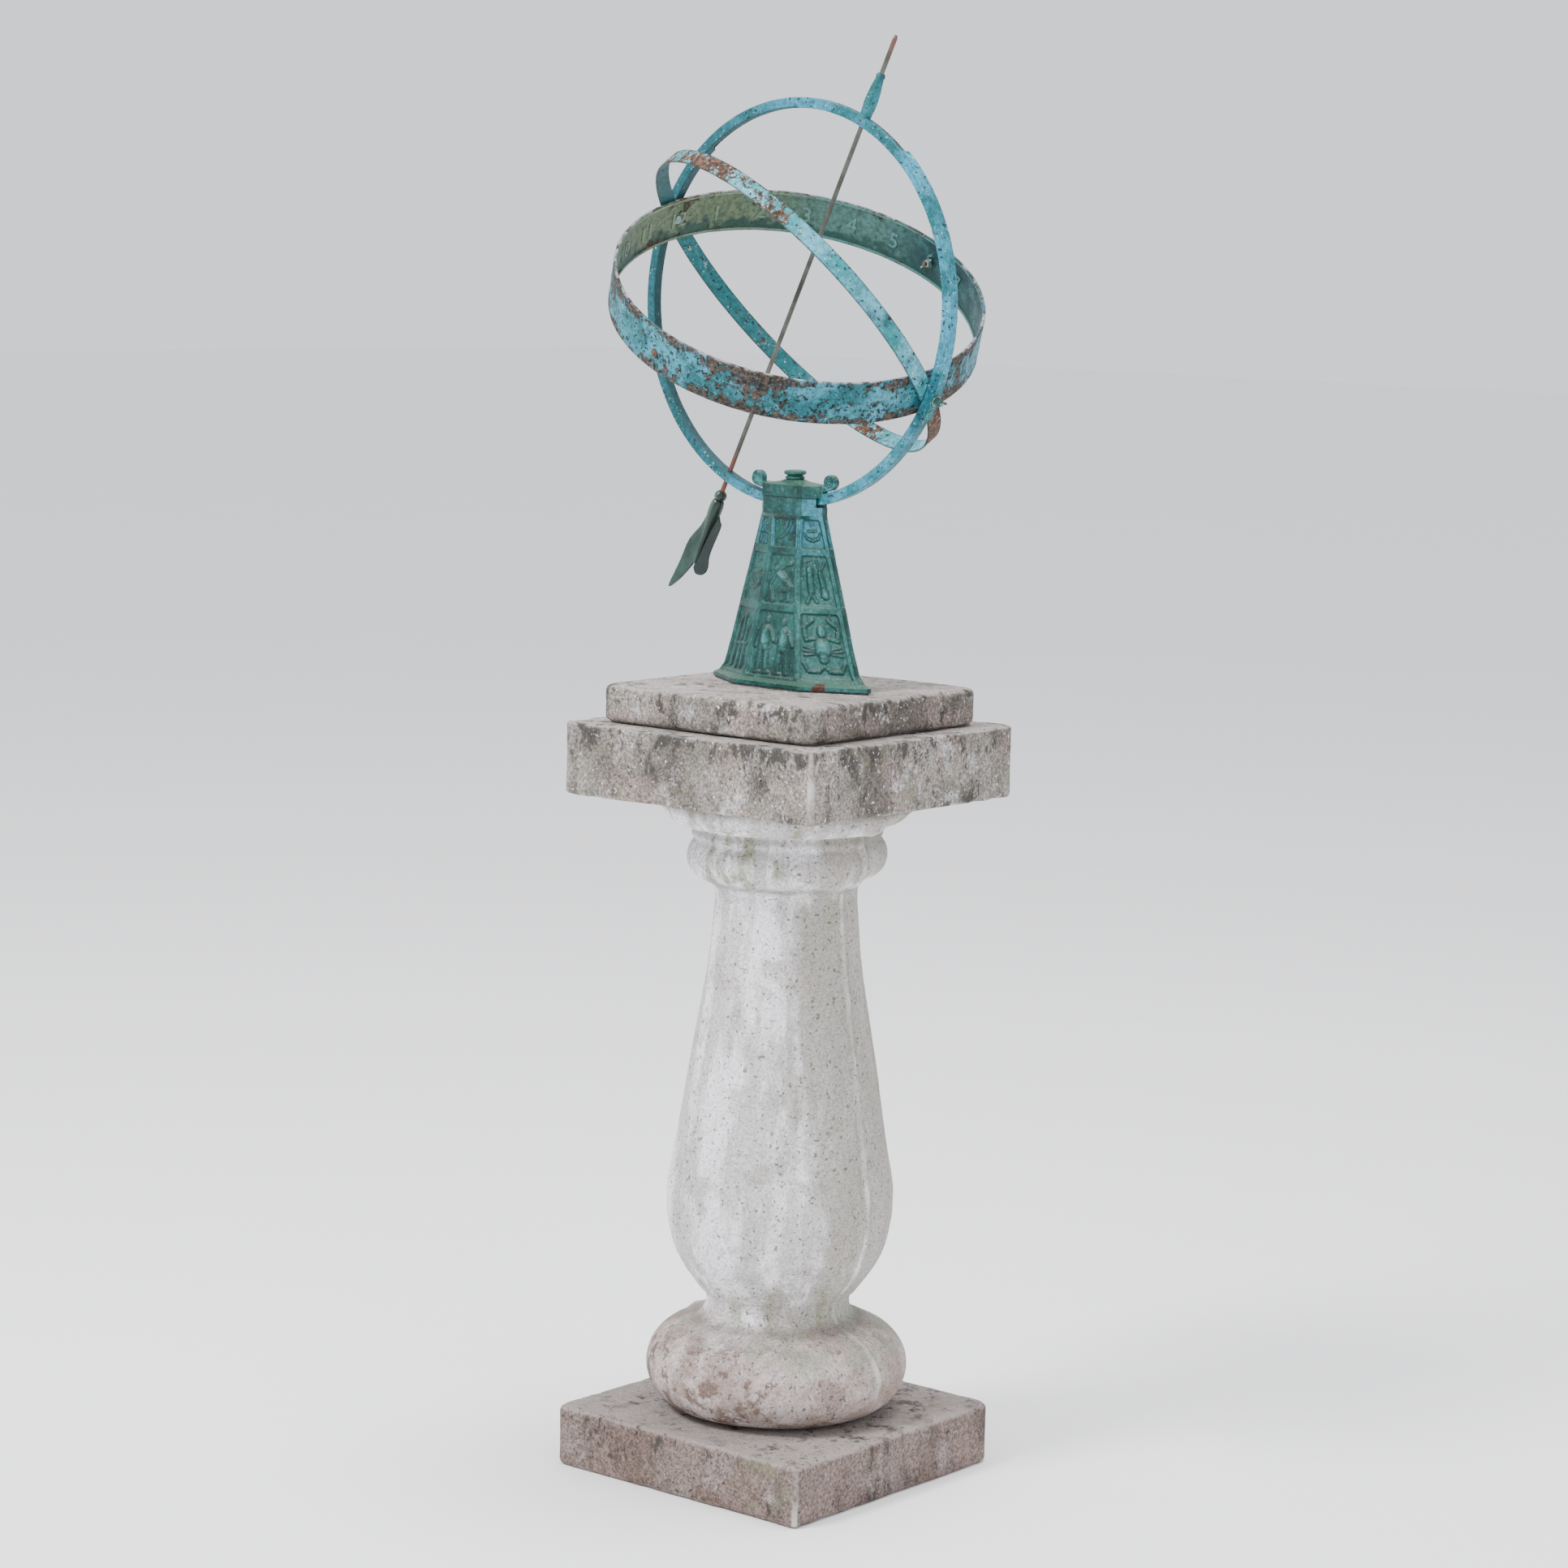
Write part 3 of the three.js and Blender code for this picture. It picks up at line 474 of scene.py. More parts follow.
def pale_stone():
    """Very light casting with grey patches, more of them painted as shade on the side turned from the key
    light, green streaks, pinholes and a brown-stained foot.
    """
    look = Look("pale_stone")
    streak = look.noise(0.035, 5, 0.6, stretch=(1, 1, 0.14))
    base = look.mix(look.fade(streak, 0.42, 0.58), (0.56, 0.54, 0.54), (0.86, 0.84, 0.88))
    turn = look.facing((0.743, 0.669, 0))
    wander = look.noise(0.09, 5, 0.65, stretch=(1, 1, 0.35), offset=(2, 7, 5))
    # Grey patches by noise, partly real and partly painted shade: the mask grows on faces turned away from
    # the key light.
    grey = look.fade(look.plus(look.times(turn, 0.22), wander), 0.47, 0.62)
    base = look.tint(base, (0.36, 0.335, 0.295), grey, 0.85)
    cloud = look.noise(0.05, 6, 0.7, offset=(4, 2, 6))
    base = look.tint(base, (0.38, 0.345, 0.31), look.fade(cloud, 0.52, 0.62), 0.6)
    drip = look.spots(0.56, 0.68, 0.03, 4, 0.55, stretch=(1, 1, 0.10), offset=(9, 1, 3))
    height_above = look.along((0, 0, 1))
    head = look.fade(height_above, 0.60, 0.74)
    low_green = look.fade(height_above, 0.27, 0.20)
    green = look.times(drip, look.plus(look.plus(head, low_green), 0.35, clamp=True))
    base = look.tint(base, (0.24, 0.25, 0.14), green, 0.75)
    foot = look.plus(height_above, look.times(look.noise(0.06, 5, 0.65, offset=(2, 2, 8)), 0.10))
    foot = look.fade(foot, 0.265, 0.215)
    earthy = look.spots(0.40, 0.62, 0.04, 6, 0.7, offset=(6, 4, 2))
    torus = look.mix(earthy, (0.30, 0.22, 0.19), (0.52, 0.44, 0.42))
    base = look.tint(base, torus, foot, 0.9)
    side = look.times(look.fade(turn, 0.5, -0.5), 0.09)
    brown = look.plus(look.noise(0.035, 7, 0.75, offset=(3, 9, 4)), side)
    brown = look.times(look.fade(brown, 0.585, 0.66), look.fade(height_above, 0.19, 0.15))
    base = look.tint(base, (0.13, 0.075, 0.055), brown, 0.85)
    shoulder = look.times(look.fade(height_above, 0.135, 0.165), look.fade(height_above, 0.21, 0.185))
    shoulder = look.times(shoulder, look.fade(look.plus(look.times(turn, 0.2), cloud), 0.46, 0.62))
    base = look.tint(base, (0.27, 0.30, 0.23), shoulder, 0.7)
    grit = look.noise(0.003, 4, 0.75, offset=(1, 1, 1))
    base = look.mix(look.fade(grit, 0.38, 0.62), look.shade(base, 0.70), look.shade(base, 1.12))
    speckle = look.spots(0.56, 0.66, 0.013, 6, 0.8, offset=(3, 3, 8))
    base = look.tint(base, (0.33, 0.30, 0.26), speckle, 0.45)
    pit = look.spots(0.645, 0.68, 0.0045, 2, 0.5, offset=(8, 6, 7))
    base = look.tint(base, (0.09, 0.075, 0.06), pit, 0.75)
    base = look.tint(base, (0.78, 0.76, 0.72), look.painted("seam"), 0.5)
    # Painted shade in the groove beside the seam.
    base = look.tint(base, (0.27, 0.25, 0.20), look.painted("seam_side"), 0.6)
    # Painted shade in the creases and the painted shadow under the slab, patchy by noise.
    crease_shade_strength = look.plus(look.noise(0.03, 5, 0.7, offset=(1, 5, 5)), 0.15)
    base = look.tint(base, (0.13, 0.12, 0.09), look.painted("crevice"), crease_shade_strength)
    dents = look.times(look.noise(0.015, 4, 0.6), 1.4)
    height = look.minus(look.plus(grit, dents), look.times(pit, 2.0))
    return look.finish(base, 0.9, height, 0.0014, 0.75)


def joint_mortar():
    """Crumbly grey mortar."""
    look = Look("joint_mortar")
    base = look.mix(look.spots(0.35, 0.65, 0.012, 5, 0.7), (0.16, 0.145, 0.125), (0.42, 0.40, 0.37))
    return look.finish(base, 0.95, look.noise(0.004, 4, 0.7), 0.001, 0.9)


def patina(name, light, teal, rust_amount, dark=(0.006, 0.042, 0.048), roughness=0.5):
    """Blue-green patina: two blues in clouds, black pits, pale specks and flakes of brown rust."""
    look = Look(name)
    cloud = look.noise(0.06, 6, 0.62)
    base = look.mix(look.fade(cloud, 0.40, 0.60), teal, light)
    left = look.fade(look.along((1, 0, 0), CENTRE), -0.03, -0.16)
    base = look.tint(base, look.shade(teal, 0.5), left, 0.85)
    fine = look.noise(0.006, 5, 0.65, offset=(2, 6, 1))
    base = look.mix(look.fade(fine, 0.36, 0.64), look.shade(base, 0.75), look.shade(base, 1.22))
    shadow = look.spots(0.56, 0.70, 0.028, 5, 0.6, offset=(5, 2, 9))
    base = look.tint(base, dark, shadow, 0.6)
    flakes = look.noise(0.012, 6, 0.75, offset=(3, 7, 4))
    where = look.plus(flakes, look.times(look.painted("rust"), 0.3))
    patches = look.minus(look.noise(0.08, 3, 0.5, offset=(8, 8, 3)), 0.5)
    where = look.plus(where, look.times(patches, rust_amount))
    rust = look.fade(where, 0.635, 0.68)
    rust_color = look.mix(look.spots(0.4, 0.62, 0.004, 4, 0.7), (0.03, 0.015, 0.010), (0.14, 0.07, 0.042))
    chalk = look.spots(0.56, 0.64, 0.0042, 4, 0.6, offset=(4, 4, 4))
    near_rust = look.fade(where, 0.56, 0.64)
    base = look.tint(base, (0.55, 0.58, 0.56), look.times(chalk, near_rust), 0.85)
    base = look.tint(base, rust_color, rust)
    pit = look.spots(0.67, 0.70, 0.0045, 1, 0.4, offset=(9, 1, 2))
    base = look.tint(base, (0.006, 0.02, 0.02), pit, 0.9)
    speck = look.spots(0.68, 0.72, 0.0035, 2, 0.5, offset=(6, 6, 8))
    base = look.tint(base, (0.52, 0.62, 0.60), speck, 0.7)
    base = look.tint(base, dark, look.painted("shade"), 0.8)
    base = look.tint(base, (0.02, 0.022, 0.02), look.painted("edge"))
    bumps = look.minus(look.times(fine, 0.6), look.times(pit, 1.2))
    bumps = look.plus(bumps, look.times(look.times(rust, flakes), 1.3))
    return look.finish(base, look.plus(look.times(rust, 0.3), roughness), bumps, 0.0008, 0.8, gloss=0.25)


def hour_patina():
    """The hour band: turquoise outside under brown flakes, olive to dark teal inside."""
    look = Look("hour_patina")
    cloud = look.noise(0.05, 6, 0.62)
    outer = look.mix(look.fade(cloud, 0.40, 0.60), (0.008, 0.105, 0.125), (0.045, 0.225, 0.29))
    left = look.fade(look.along(NODE_AXIS, CENTRE), -0.12, -0.21)
    right = look.fade(look.along(NODE_AXIS, CENTRE), 0.13, 0.20)
    inner = look.mix(look.fade(cloud, 0.44, 0.60), (0.002, 0.03, 0.033), (0.022, 0.085, 0.09))
    middle = look.fade(look.along(NODE_AXIS, CENTRE), 0.0, -0.09)
    inner = look.tint(inner, (0.045, 0.115, 0.10), middle)
    inner = look.tint(inner, look.mix(cloud, (0.06, 0.095, 0.05), (0.125, 0.16, 0.10)), left)
    inner = look.tint(inner, (0.10, 0.23, 0.33), right, 0.8)
    outside = look.painted("outside")
    base = look.mix(outside, inner, outer)
    fine = look.noise(0.006, 5, 0.65, offset=(2, 6, 1))
    base = look.mix(look.fade(fine, 0.36, 0.64), look.shade(base, 0.74), look.shade(base, 1.25))
    across = look.painted("across")
    drip = look.noise(0.022, 5, 0.65, offset=(5, 5, 5))
    stain = look.fade(look.plus(across, look.times(drip, 2.6)), 1.1, 0.75)
    stain = look.times(stain, look.minus(1.0, outside))
    base = look.tint(base, (0.003, 0.035, 0.03), stain, 0.8)
    flakes = look.noise(0.013, 6, 0.78, offset=(3, 7, 4))
    border = look.fade(look.math("ABSOLUTE", across), 0.35, 1.0)
    patches = look.minus(look.noise(0.07, 3, 0.5, offset=(1, 3, 9)), 0.46)
    where = look.plus(flakes, look.times(border, 0.11))
    where = look.plus(where, look.times(patches, 0.55))
    where = look.minus(where, look.times(look.minus(1.0, outside), 0.12))
    where = look.plus(where, look.times(look.fade(look.along(NODE_AXIS, CENTRE), -0.10, -0.20), 0.035))
    where = look.plus(where, look.times(look.fade(across, -0.2, -1.0), 0.03))
    rust = look.fade(where, 0.575, 0.625)
    rust_color = look.mix(look.spots(0.4, 0.62, 0.005, 4, 0.7), (0.018, 0.012, 0.008), (0.10, 0.055, 0.034))
    base = look.tint(base, rust_color, rust, 0.92)
    chalk = look.times(look.spots(0.60, 0.66, 0.004, 4, 0.65, offset=(4, 4, 4)), outside)
    base = look.tint(base, (0.27, 0.36, 0.42), chalk, 0.4)
    # Painted highlight: the raised beads and hour numbers made lighter, olive on the left.
    base = look.tint(base, look.mix(left, (0.10, 0.24, 0.24), (0.22, 0.29, 0.20)), look.painted("raised"))
    pit = look.spots(0.63, 0.665, 0.0045, 1, 0.4, offset=(9, 1, 2))
    pit = look.times(pit, look.plus(look.times(outside, 0.65), 0.25))
    base = look.tint(base, (0.005, 0.013, 0.012), pit)
    bare = look.spots(0.45, 0.55, 0.012, 4, 0.6, offset=(1, 1, 7))
    trim = look.mix(bare, (0.03, 0.024, 0.022), (0.30, 0.27, 0.28))
    base = look.tint(base, trim, look.painted("edge"))
    bumps = look.minus(look.times(fine, 0.6), look.times(pit, 1.5))
    bumps = look.plus(bumps, look.times(look.times(rust, flakes), 1.5))
    return look.finish(base, look.plus(look.times(rust, 0.3), 0.45), bumps, 0.0009, 0.85, gloss=0.2)


def relief_bronze():
    """The pillar: painted light and shade, dark green on the faces in shade and a lighter copy on the faces
    turned toward the camera; light blue at the upper right, pale on raised lines.
    """
    look = Look("relief_bronze")
    cloud = look.noise(0.04, 6, 0.62)
    # Painted light and shade: the dark green stands for the faces in shade, its lighter copy for the faces
    # turned toward the camera.
    front = look.mix(look.fade(cloud, 0.38, 0.62), (0.002, 0.032, 0.028), (0.014, 0.085, 0.075))
    side = look.mix(look.fade(cloud, 0.38, 0.62), (0.010, 0.068, 0.058), (0.036, 0.13, 0.118))
    turn = look.facing((0.69, -0.72, 0))
    wander = look.times(look.noise(0.05, 3, 0.5, offset=(7, 1, 1)), 0.5)
    facing = look.fade(look.plus(turn, wander), 0.95, 1.15)
    base = look.mix(facing, front, side)
    over_slab = look.along((0, 0, 1), (0, 0, SLAB_TOP))
    high = look.times(look.fade(over_slab, 0.14, 0.19), look.fade(over_slab, 0.2225, 0.2205))
    base = look.tint(base, (0.045, 0.23, 0.30), look.times(high, facing), 0.75)
    fine = look.noise(0.004, 5, 0.7, offset=(2, 6, 1))
    base = look.mix(look.fade(fine, 0.34, 0.66), look.shade(base, 0.65), look.shade(base, 1.35))
    raised = look.painted("raised")
    worn = look.spots(0.40, 0.60, 0.01, 5, 0.7, offset=(5, 9, 2))
    base = look.tint(base, (0.07, 0.28, 0.29), look.times(look.fade(raised, 0.15, 0.9), worn), 0.7)
    base = look.tint(base, (0.003, 0.018, 0.017), look.painted("shade"), 0.85)
    up = look.fade(look.facing((0, 0, 1)), 0.35, 0.85)
    base = look.tint(base, (0.06, 0.125, 0.07), up, 0.5)
    rust = look.fade(look.plus(look.noise(0.010, 6, 0.75, offset=(3, 7, 4)),
                               look.times(look.painted("rust"), 0.25)), 0.67, 0.71)
    base = look.tint(base, (0.065, 0.022, 0.014), rust)
    speck = look.spots(0.70, 0.73, 0.0024, 2, 0.5, offset=(6, 6, 8))
    base = look.tint(base, (0.32, 0.44, 0.42), speck, 0.7)
    height = look.plus(fine, look.times(look.noise(0.002, 3, 0.6), 0.5))
    return look.finish(base, 0.36, height, 0.0008, 0.7, gloss=0.28)


def tail_bronze():
    """Dark green bronze with a wet-looking gloss, paler where it faces the sky, and painted shade on faces
    turned along the node axis, away from the light.
    """
    look = Look("tail_bronze")
    cloud = look.noise(0.03, 5, 0.6)
    base = look.mix(look.fade(cloud, 0.38, 0.62), (0.006, 0.022, 0.016), (0.016, 0.05, 0.036))
    high = look.fade(look.along(POLAR_AXIS, CENTRE), -0.325, -0.268)
    base = look.tint(base, (0.055, 0.11, 0.07), high, 0.7)
    # Painted shade: faces turned along the node axis, down and away from the light, made near black.
    under = look.fade(look.facing(NODE_AXIS), 0.02, 0.2)
    base = look.tint(base, (0.004, 0.009, 0.010), under, 0.8)
    fine = look.noise(0.004, 4, 0.6)
    return look.finish(base, look.plus(look.times(fine, 0.15), 0.2), fine, 0.0005, 0.5, gloss=0.35)


def rod_metal():
    """Grey-green drawn rod with streaks along it, rust-red near the lower ring."""
    look = Look("rod_metal")
    streak = look.noise(0.022, 5, 0.6, offset=(1, 2, 3))
    base = look.mix(look.fade(streak, 0.36, 0.64), (0.055, 0.053, 0.043), (0.092, 0.095, 0.08))
    low = look.along(POLAR_AXIS, CENTRE)
    red = look.fade(low, -0.19, -0.212)
    base = look.tint(base, (0.14, 0.04, 0.026), red, 0.85)
    dark = look.fade(look.plus(low, look.times(streak, 0.08)), 0.10, 0.02)
    dark = look.times(dark, look.fade(low, -0.02, 0.02))
    base = look.tint(base, (0.025, 0.02, 0.017), dark, 0.6)
    tip = look.fade(low, 0.30, 0.325)
    base = look.tint(base, (0.15, 0.045, 0.03), tip, 0.6)
    return look.finish(base, 0.42, streak, 0.0005, 0.5, 0.4)


def rusty_metal():
    """Brown rust all over."""
    look = Look("rusty_metal")
    grain = look.noise(0.003, 5, 0.7)
    base = look.mix(look.fade(grain, 0.35, 0.65), (0.045, 0.02, 0.013), (0.16, 0.085, 0.055))
    return look.finish(base, 0.8, grain, 0.0006, 0.8, 0.3)


def pale_hardware():
    """Galvanised nuts and washers gone pale green."""
    look = Look("pale_hardware")
    grain = look.noise(0.004, 5, 0.65)
    base = look.mix(look.fade(grain, 0.36, 0.64), (0.08, 0.17, 0.155), (0.27, 0.38, 0.35))
    spots = look.spots(0.58, 0.66, 0.003, 3, 0.6, offset=(3, 3, 3))
    base = look.tint(base, (0.20, 0.12, 0.08), spots, 0.7)
    return look.finish(base, 0.38, grain, 0.0004, 0.6, 0.55)


def dull_lead():
    """Soft grey lead, hardly shining."""
    look = Look("dull_lead")
    grain = look.noise(0.006, 5, 0.65)
    base = look.mix(look.fade(grain, 0.35, 0.65), (0.03, 0.036, 0.034), (0.10, 0.11, 0.105))
    return look.finish(base, 0.6, grain, 0.0005, 0.6, 0.4)


LOOKS = {
    "slab": slab_stone(),
    "pale": pale_stone(),
    "mortar": joint_mortar(),
    "ring": patina("ring_patina", (0.042, 0.25, 0.36), (0.008, 0.12, 0.14), 0.2),
    "boss": patina("boss_patina", (0.03, 0.20, 0.25), (0.006, 0.085, 0.09), 0.1),
    "ecliptic": patina("ecliptic_patina", (0.10, 0.34, 0.42), (0.02, 0.21, 0.23), 0.45),
    "hour": hour_patina(),
    "pillar": relief_bronze(),
    "tail": tail_bronze(),
    "rod": rod_metal(),
    "rust": rusty_metal(),
    "pale_metal": pale_hardware(),
    "lead": dull_lead(),
}


def wear(obj, look):
    """Gives the object one of the looks in place of what it has."""
    obj.data.materials.clear()
    obj.data.materials.append(LOOKS[look])
    return obj


def paint(obj, **numbers):
    """Keeps numbers on the mesh's points, for the looks that read them."""
    for name, values in numbers.items():
        layer = obj.data.attributes.new(name, "FLOAT", "POINT")
        layer.data.foreach_set("value", np.asarray(values, np.float32))


def go(piece, body, slot, look, *nodes):
    """The piece rides on a body and takes a look, and stands for CAD nodes; slot is not used."""
    wear(piece, look)
    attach(piece, body)
    if nodes:
        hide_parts(*nodes)
    return piece


# ---- pedestal ----
def stone_turned(obj):
    """Turns a stone by the small angle that the stones stand at."""
    transform(obj, Matrix.Rotation(STONE_TURN, 4, "Z"))
    return obj


# Each stone's node, side, corner radii, edge rounding and mesh spacing in mm, then its seed and crust.
BLOCKS = [
    ("plinth_block", 372, [24, 14, 16, 6], 6, 3.4, 31, 0.25),
    ("lower_slab", 380, [20, 14, 22, 4], 3, 3.2, 47, 1.0),
    ("upper_slab", 319, [26, 16, 26, 16], 6, 3.2, 63, 0.8),
]


def rough_block(node, side, radii, rounding, spacing, seed, crust):
    """A square cast block with worn corners: an outline swept over a profile from below to above.

    radii round its four upright corners, rounding its level edges, and crust is how black its top edge is.
    """
    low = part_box(node)[0].z
    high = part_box(node)[1].z
    half = side / 2
    corners = [(1, 1, 0), (-1, 1, 90), (-1, -1, 180), (1, -1, 270)]
    outline = []
    for (x, y, start), radius in zip(corners, radii):
        outline.append(arc(x * (half - radius), y * (half - radius), radius, start, start + 90, 6))
    outline = fine_path(np.vstack(outline), spacing, closed=True)
    inset = half * 0.98
    profile = np.vstack([
        [[inset, low]],
        arc(rounding, low + rounding, rounding, 270, 180, 3),
        arc(rounding, high - rounding, rounding, 180, 90, 3),
        [[inset, high]],
    ])
    profile = fine_path(profile, spacing)
    shrink = 1 - profile[:, 0] / half
    grid = np.concatenate([
        outline[None, :, :] * shrink[:, None, None],
        np.broadcast_to(profile[:, 1][:, None, None], (len(profile), len(outline), 1)),
    ], axis=2)
    obj = lattice(node + "_skin", grid)
    points = coordinates(obj)
    reach = np.sort(np.stack([
        half - np.abs(points[:, 0]),
        half - np.abs(points[:, 1]),
        np.minimum(points[:, 2] - low, high - points[:, 2]),
    ], axis=1), axis=1)
    near_edge = 1 - step(1.5 * MM, 9 * MM, reach[:, 1])
    chips = near_edge * np.clip(noise(points, 19 * MM, seed) + 0.05, 0, 1) * 2.0 * MM
    pits = np.clip(noise(points, 5 * MM, seed + 3) - 0.45, 0, 1) * 1.6 * MM
    lumps = rough(points, 70 * MM, 3, seed + 7) * 0.8 * MM + rough(points, 9 * MM, 2, seed + 9) * 0.25 * MM
    moved = points + normals(obj) * (lumps - chips - pits)[:, None]
    moved[:, 2] = np.maximum(moved[:, 2], low)
    set_coordinates(obj, moved)
    front_line = np.hypot(points[:, 0] - half + 2 * MM, points[:, 1] + half - 2 * MM)
    front_line = step(4.5 * MM, 2.5 * MM, front_line) * step(-0.5, 0.2, noise(points, 18 * MM, seed + 6))
    worn = (1 - step(0, 4 * MM, reach[:, 1])) * step(-0.1, 0.5, noise(points, 14 * MM, seed + 5))
    from_side = reach[:, 0] + (points[:, 2] > high - 2 * MM) * reach[:, 1]
    on_side = step(8 * MM, 2 * MM, from_side)
    weathered = crust * step(high - 40 * MM, high - 4 * MM, points[:, 2]) * (0.35 + 0.65 * on_side)
    paint(obj, edge=np.maximum(worn * 0.5, front_line * 0.8), weathered=weathered)
    return go(stone_turned(obj), "stand", "stone", "slab", node)


# Heights of the creases in the casting, painted dark as shade: over the foot roll, and under and over the
# neck roll.
CREVICES = [182 * MM, 703 * MM, 763 * MM]


def baluster_profile():
    """(radius, height) up the casting, from its foot to the bed under the slab."""
    foot, head = (corner.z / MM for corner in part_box("baluster"))
    spacing = 2.4
    torus = arc(104, 124, 50.7, -84, 66, 60)
    shaft = smooth_path([
        [89, 188], [84.8, 198], [86.5, 210], [95, 219], [121.3, 258.5], [131.8, 298], [133.6, 323],
        [132.6, 347.5], [123.7, 396.5], [108.6, 494], [92.5, 591.5], [84.5, 664], [84, 690], [88, 700],
    ], spacing)
    neck_torus = arc(89.5, 732, 28, -68, 44, 24)
    ovolo = arc(118, 800, 31, -78, -2, 20)
    under = [[20, foot], [60, foot]]
    waist = [[110, 177], [98, 182]]
    fillet = [[110, 754], [112, 757], [112, 768]]
    top = [[149, head], [100, head], [20, head]]
    whole = np.vstack([under, torus, waist, shaft, neck_torus, fillet, ovolo, top])
    return fine_path(whole * MM, spacing * MM)


def baluster():
    """The turned casting, with the raised seam that its two-part mould left on both sides."""
    columns = 320
    profile = baluster_profile()
    obj = turned("baluster_skin", profile, columns, caps=True)
    points = coordinates(obj)
    angle = np.arctan2(points[:, 1], points[:, 0])
    radius = np.hypot(points[:, 0], points[:, 1])
    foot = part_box("baluster")[0].z
    head = profile[:, 1].max()
    back_half = (angle > 0) & (radius > 0.06)
    slip = step(0.60, 0.71, points[:, 2]) * (1 - step(head - 22 * MM, head - 6 * MM, points[:, 2]))
    points[:, 2] += np.where(back_half, 6 * MM * slip, 0)
    from_seam = np.abs(radius * np.abs(np.sin(angle)) + 2.2 * MM * noise(points, 26 * MM, 4))
    wobble = 1 + 0.5 * noise(points, 16 * MM, 5)
    full = 0.5 + 0.5 * step(-0.5, 0.5, noise(points, 14 * MM, 6))
    ridge = np.exp(-((from_seam / (2.7 * MM * wobble)) ** 2)) * full
    # The groove beside the seam, pressed in and painted dark as shade.
    beside = np.exp(-(((from_seam - 6.5 * MM) / (3 * MM)) ** 2))
    beside *= step(-0.3, 0.4, noise(points, 12 * MM, 8))
    ridge *= step(foot + 8 * MM, foot + 25 * MM, points[:, 2])
    set_coordinates(obj, points)
    lumps = rough(points, 60 * MM, 3, 21) * 0.8 * MM + rough(points, 8 * MM, 2, 25) * 0.3 * MM
    pits = np.clip(noise(points, 6 * MM, 27) - 0.62, 0, 1) * 2.5 * MM
    push_out(obj, points, lumps - pits + ridge * 3.6 * MM - beside * 0.8 * MM)
    # Painted shade: dark bands in the creases, and the painted shadow of the slab over the top of the
    # casting.
    crevice = np.zeros(len(points))
    for z in CREVICES:
        crevice = np.maximum(crevice, np.exp(-((points[:, 2] - z) / (5 * MM)) ** 2) * 0.8)
    crevice = np.maximum(crevice, step(head - 16 * MM, head - 3 * MM, points[:, 2]))
    paint(obj, seam=ridge * 0.9, seam_side=beside, crevice=crevice)
    return go(stone_turned(obj), "stand", "pale_stone", "pale", "baluster")


def make_pedestal():
    for node, side, radii, rounding, spacing, seed, crust in BLOCKS:
        rough_block(node, side * MM, np.array(radii) * MM, rounding * MM, spacing * MM, seed, crust)
    baluster()
    for node in ("foot_mortar", "capital_mortar", "slab_mortar"):
        wear(frame["nodes"][node], "mortar")


# ---- relief pillar ----
# Height over the slab, half length, half width of the long face, half depth and half width of the end,
# all in mm.
PILLAR_SECTIONS = np.array([
    [2.2, 121, 50, 44, 3], [7, 121, 50, 44, 3], [11, 110, 43, 38, 4.5], [20, 102, 40, 35.5, 4.6],
    [52, 91, 36.5, 32, 4.6], [90, 80, 31, 26.5, 4.6], [126, 69, 25.5, 21.5, 4.6],
    [164, 57.5, 22.5, 17.8, 4.6], [196, 48, 21.8, 16.5, 4.6],
    [201, 46.7, 30.3, 20.5, 4.7], [221, 46.7, 30.3, 20.5, 4.7],
])
PANEL_ROWS = [(14, 89), (97, 155), (163, 196)]
LONG_COLUMNS = 60
END_COLUMNS = 10
# The slots that take the ring's ends: their floor, how near the axis they start and half their width.
SLOT_FLOOR = 210.4
SLOT_X = 34.6
SLOT_Y = 9.3
# Two rusty places: under the ring's right-hand end, and a chip in the flange right of the front corner.
RING_SEAT = np.array([39 * MM, 0, SLAB_TOP + SLOT_FLOOR * MM])
FLANGE_CHIP = np.array([70 * MM, -33 * MM, SLAB_TOP + 7 * MM])
# The pillar has eight sides, and side s runs from corner s to the next.
SIDES = 8
# The cap's scrolls, in mm: how far out and how high over the slab they are, and half their width.
SCROLL_X = 56
SCROLL_Z = 239.5
SCROLL_HALF = 4.2

# Each figure is a few round-ended strokes (x0, y0, x1, y1, half width) on a panel that runs from -1 to 1.
STANDING_PAIR = [
    (-0.46, 0.70, -0.46, 0.74, 0.15), (-0.50, 0.40, -0.48, -0.05, 0.24), (-0.60, -0.12, -0.64, -0.84, 0.12),
    (-0.34, -0.12, -0.30, -0.84, 0.12), (-0.74, 0.42, -0.86, -0.10, 0.09), (-0.26, 0.42, -0.06, 0.10, 0.09),
    (0.40, 0.66, 0.40, 0.70, 0.15), (0.44, 0.36, 0.42, -0.08, 0.24), (0.28, -0.16, 0.22, -0.86, 0.12),
    (0.54, -0.16, 0.60, -0.86, 0.12), (0.68, 0.38, 0.86, -0.02, 0.09), (0.20, 0.38, 0.08, 0.06, 0.08),
    (-0.72, -0.90, -0.55, -0.90, 0.08), (-0.38, -0.90, -0.16, -0.90, 0.08), (0.12, -0.91, 0.32, -0.91, 0.08),
]
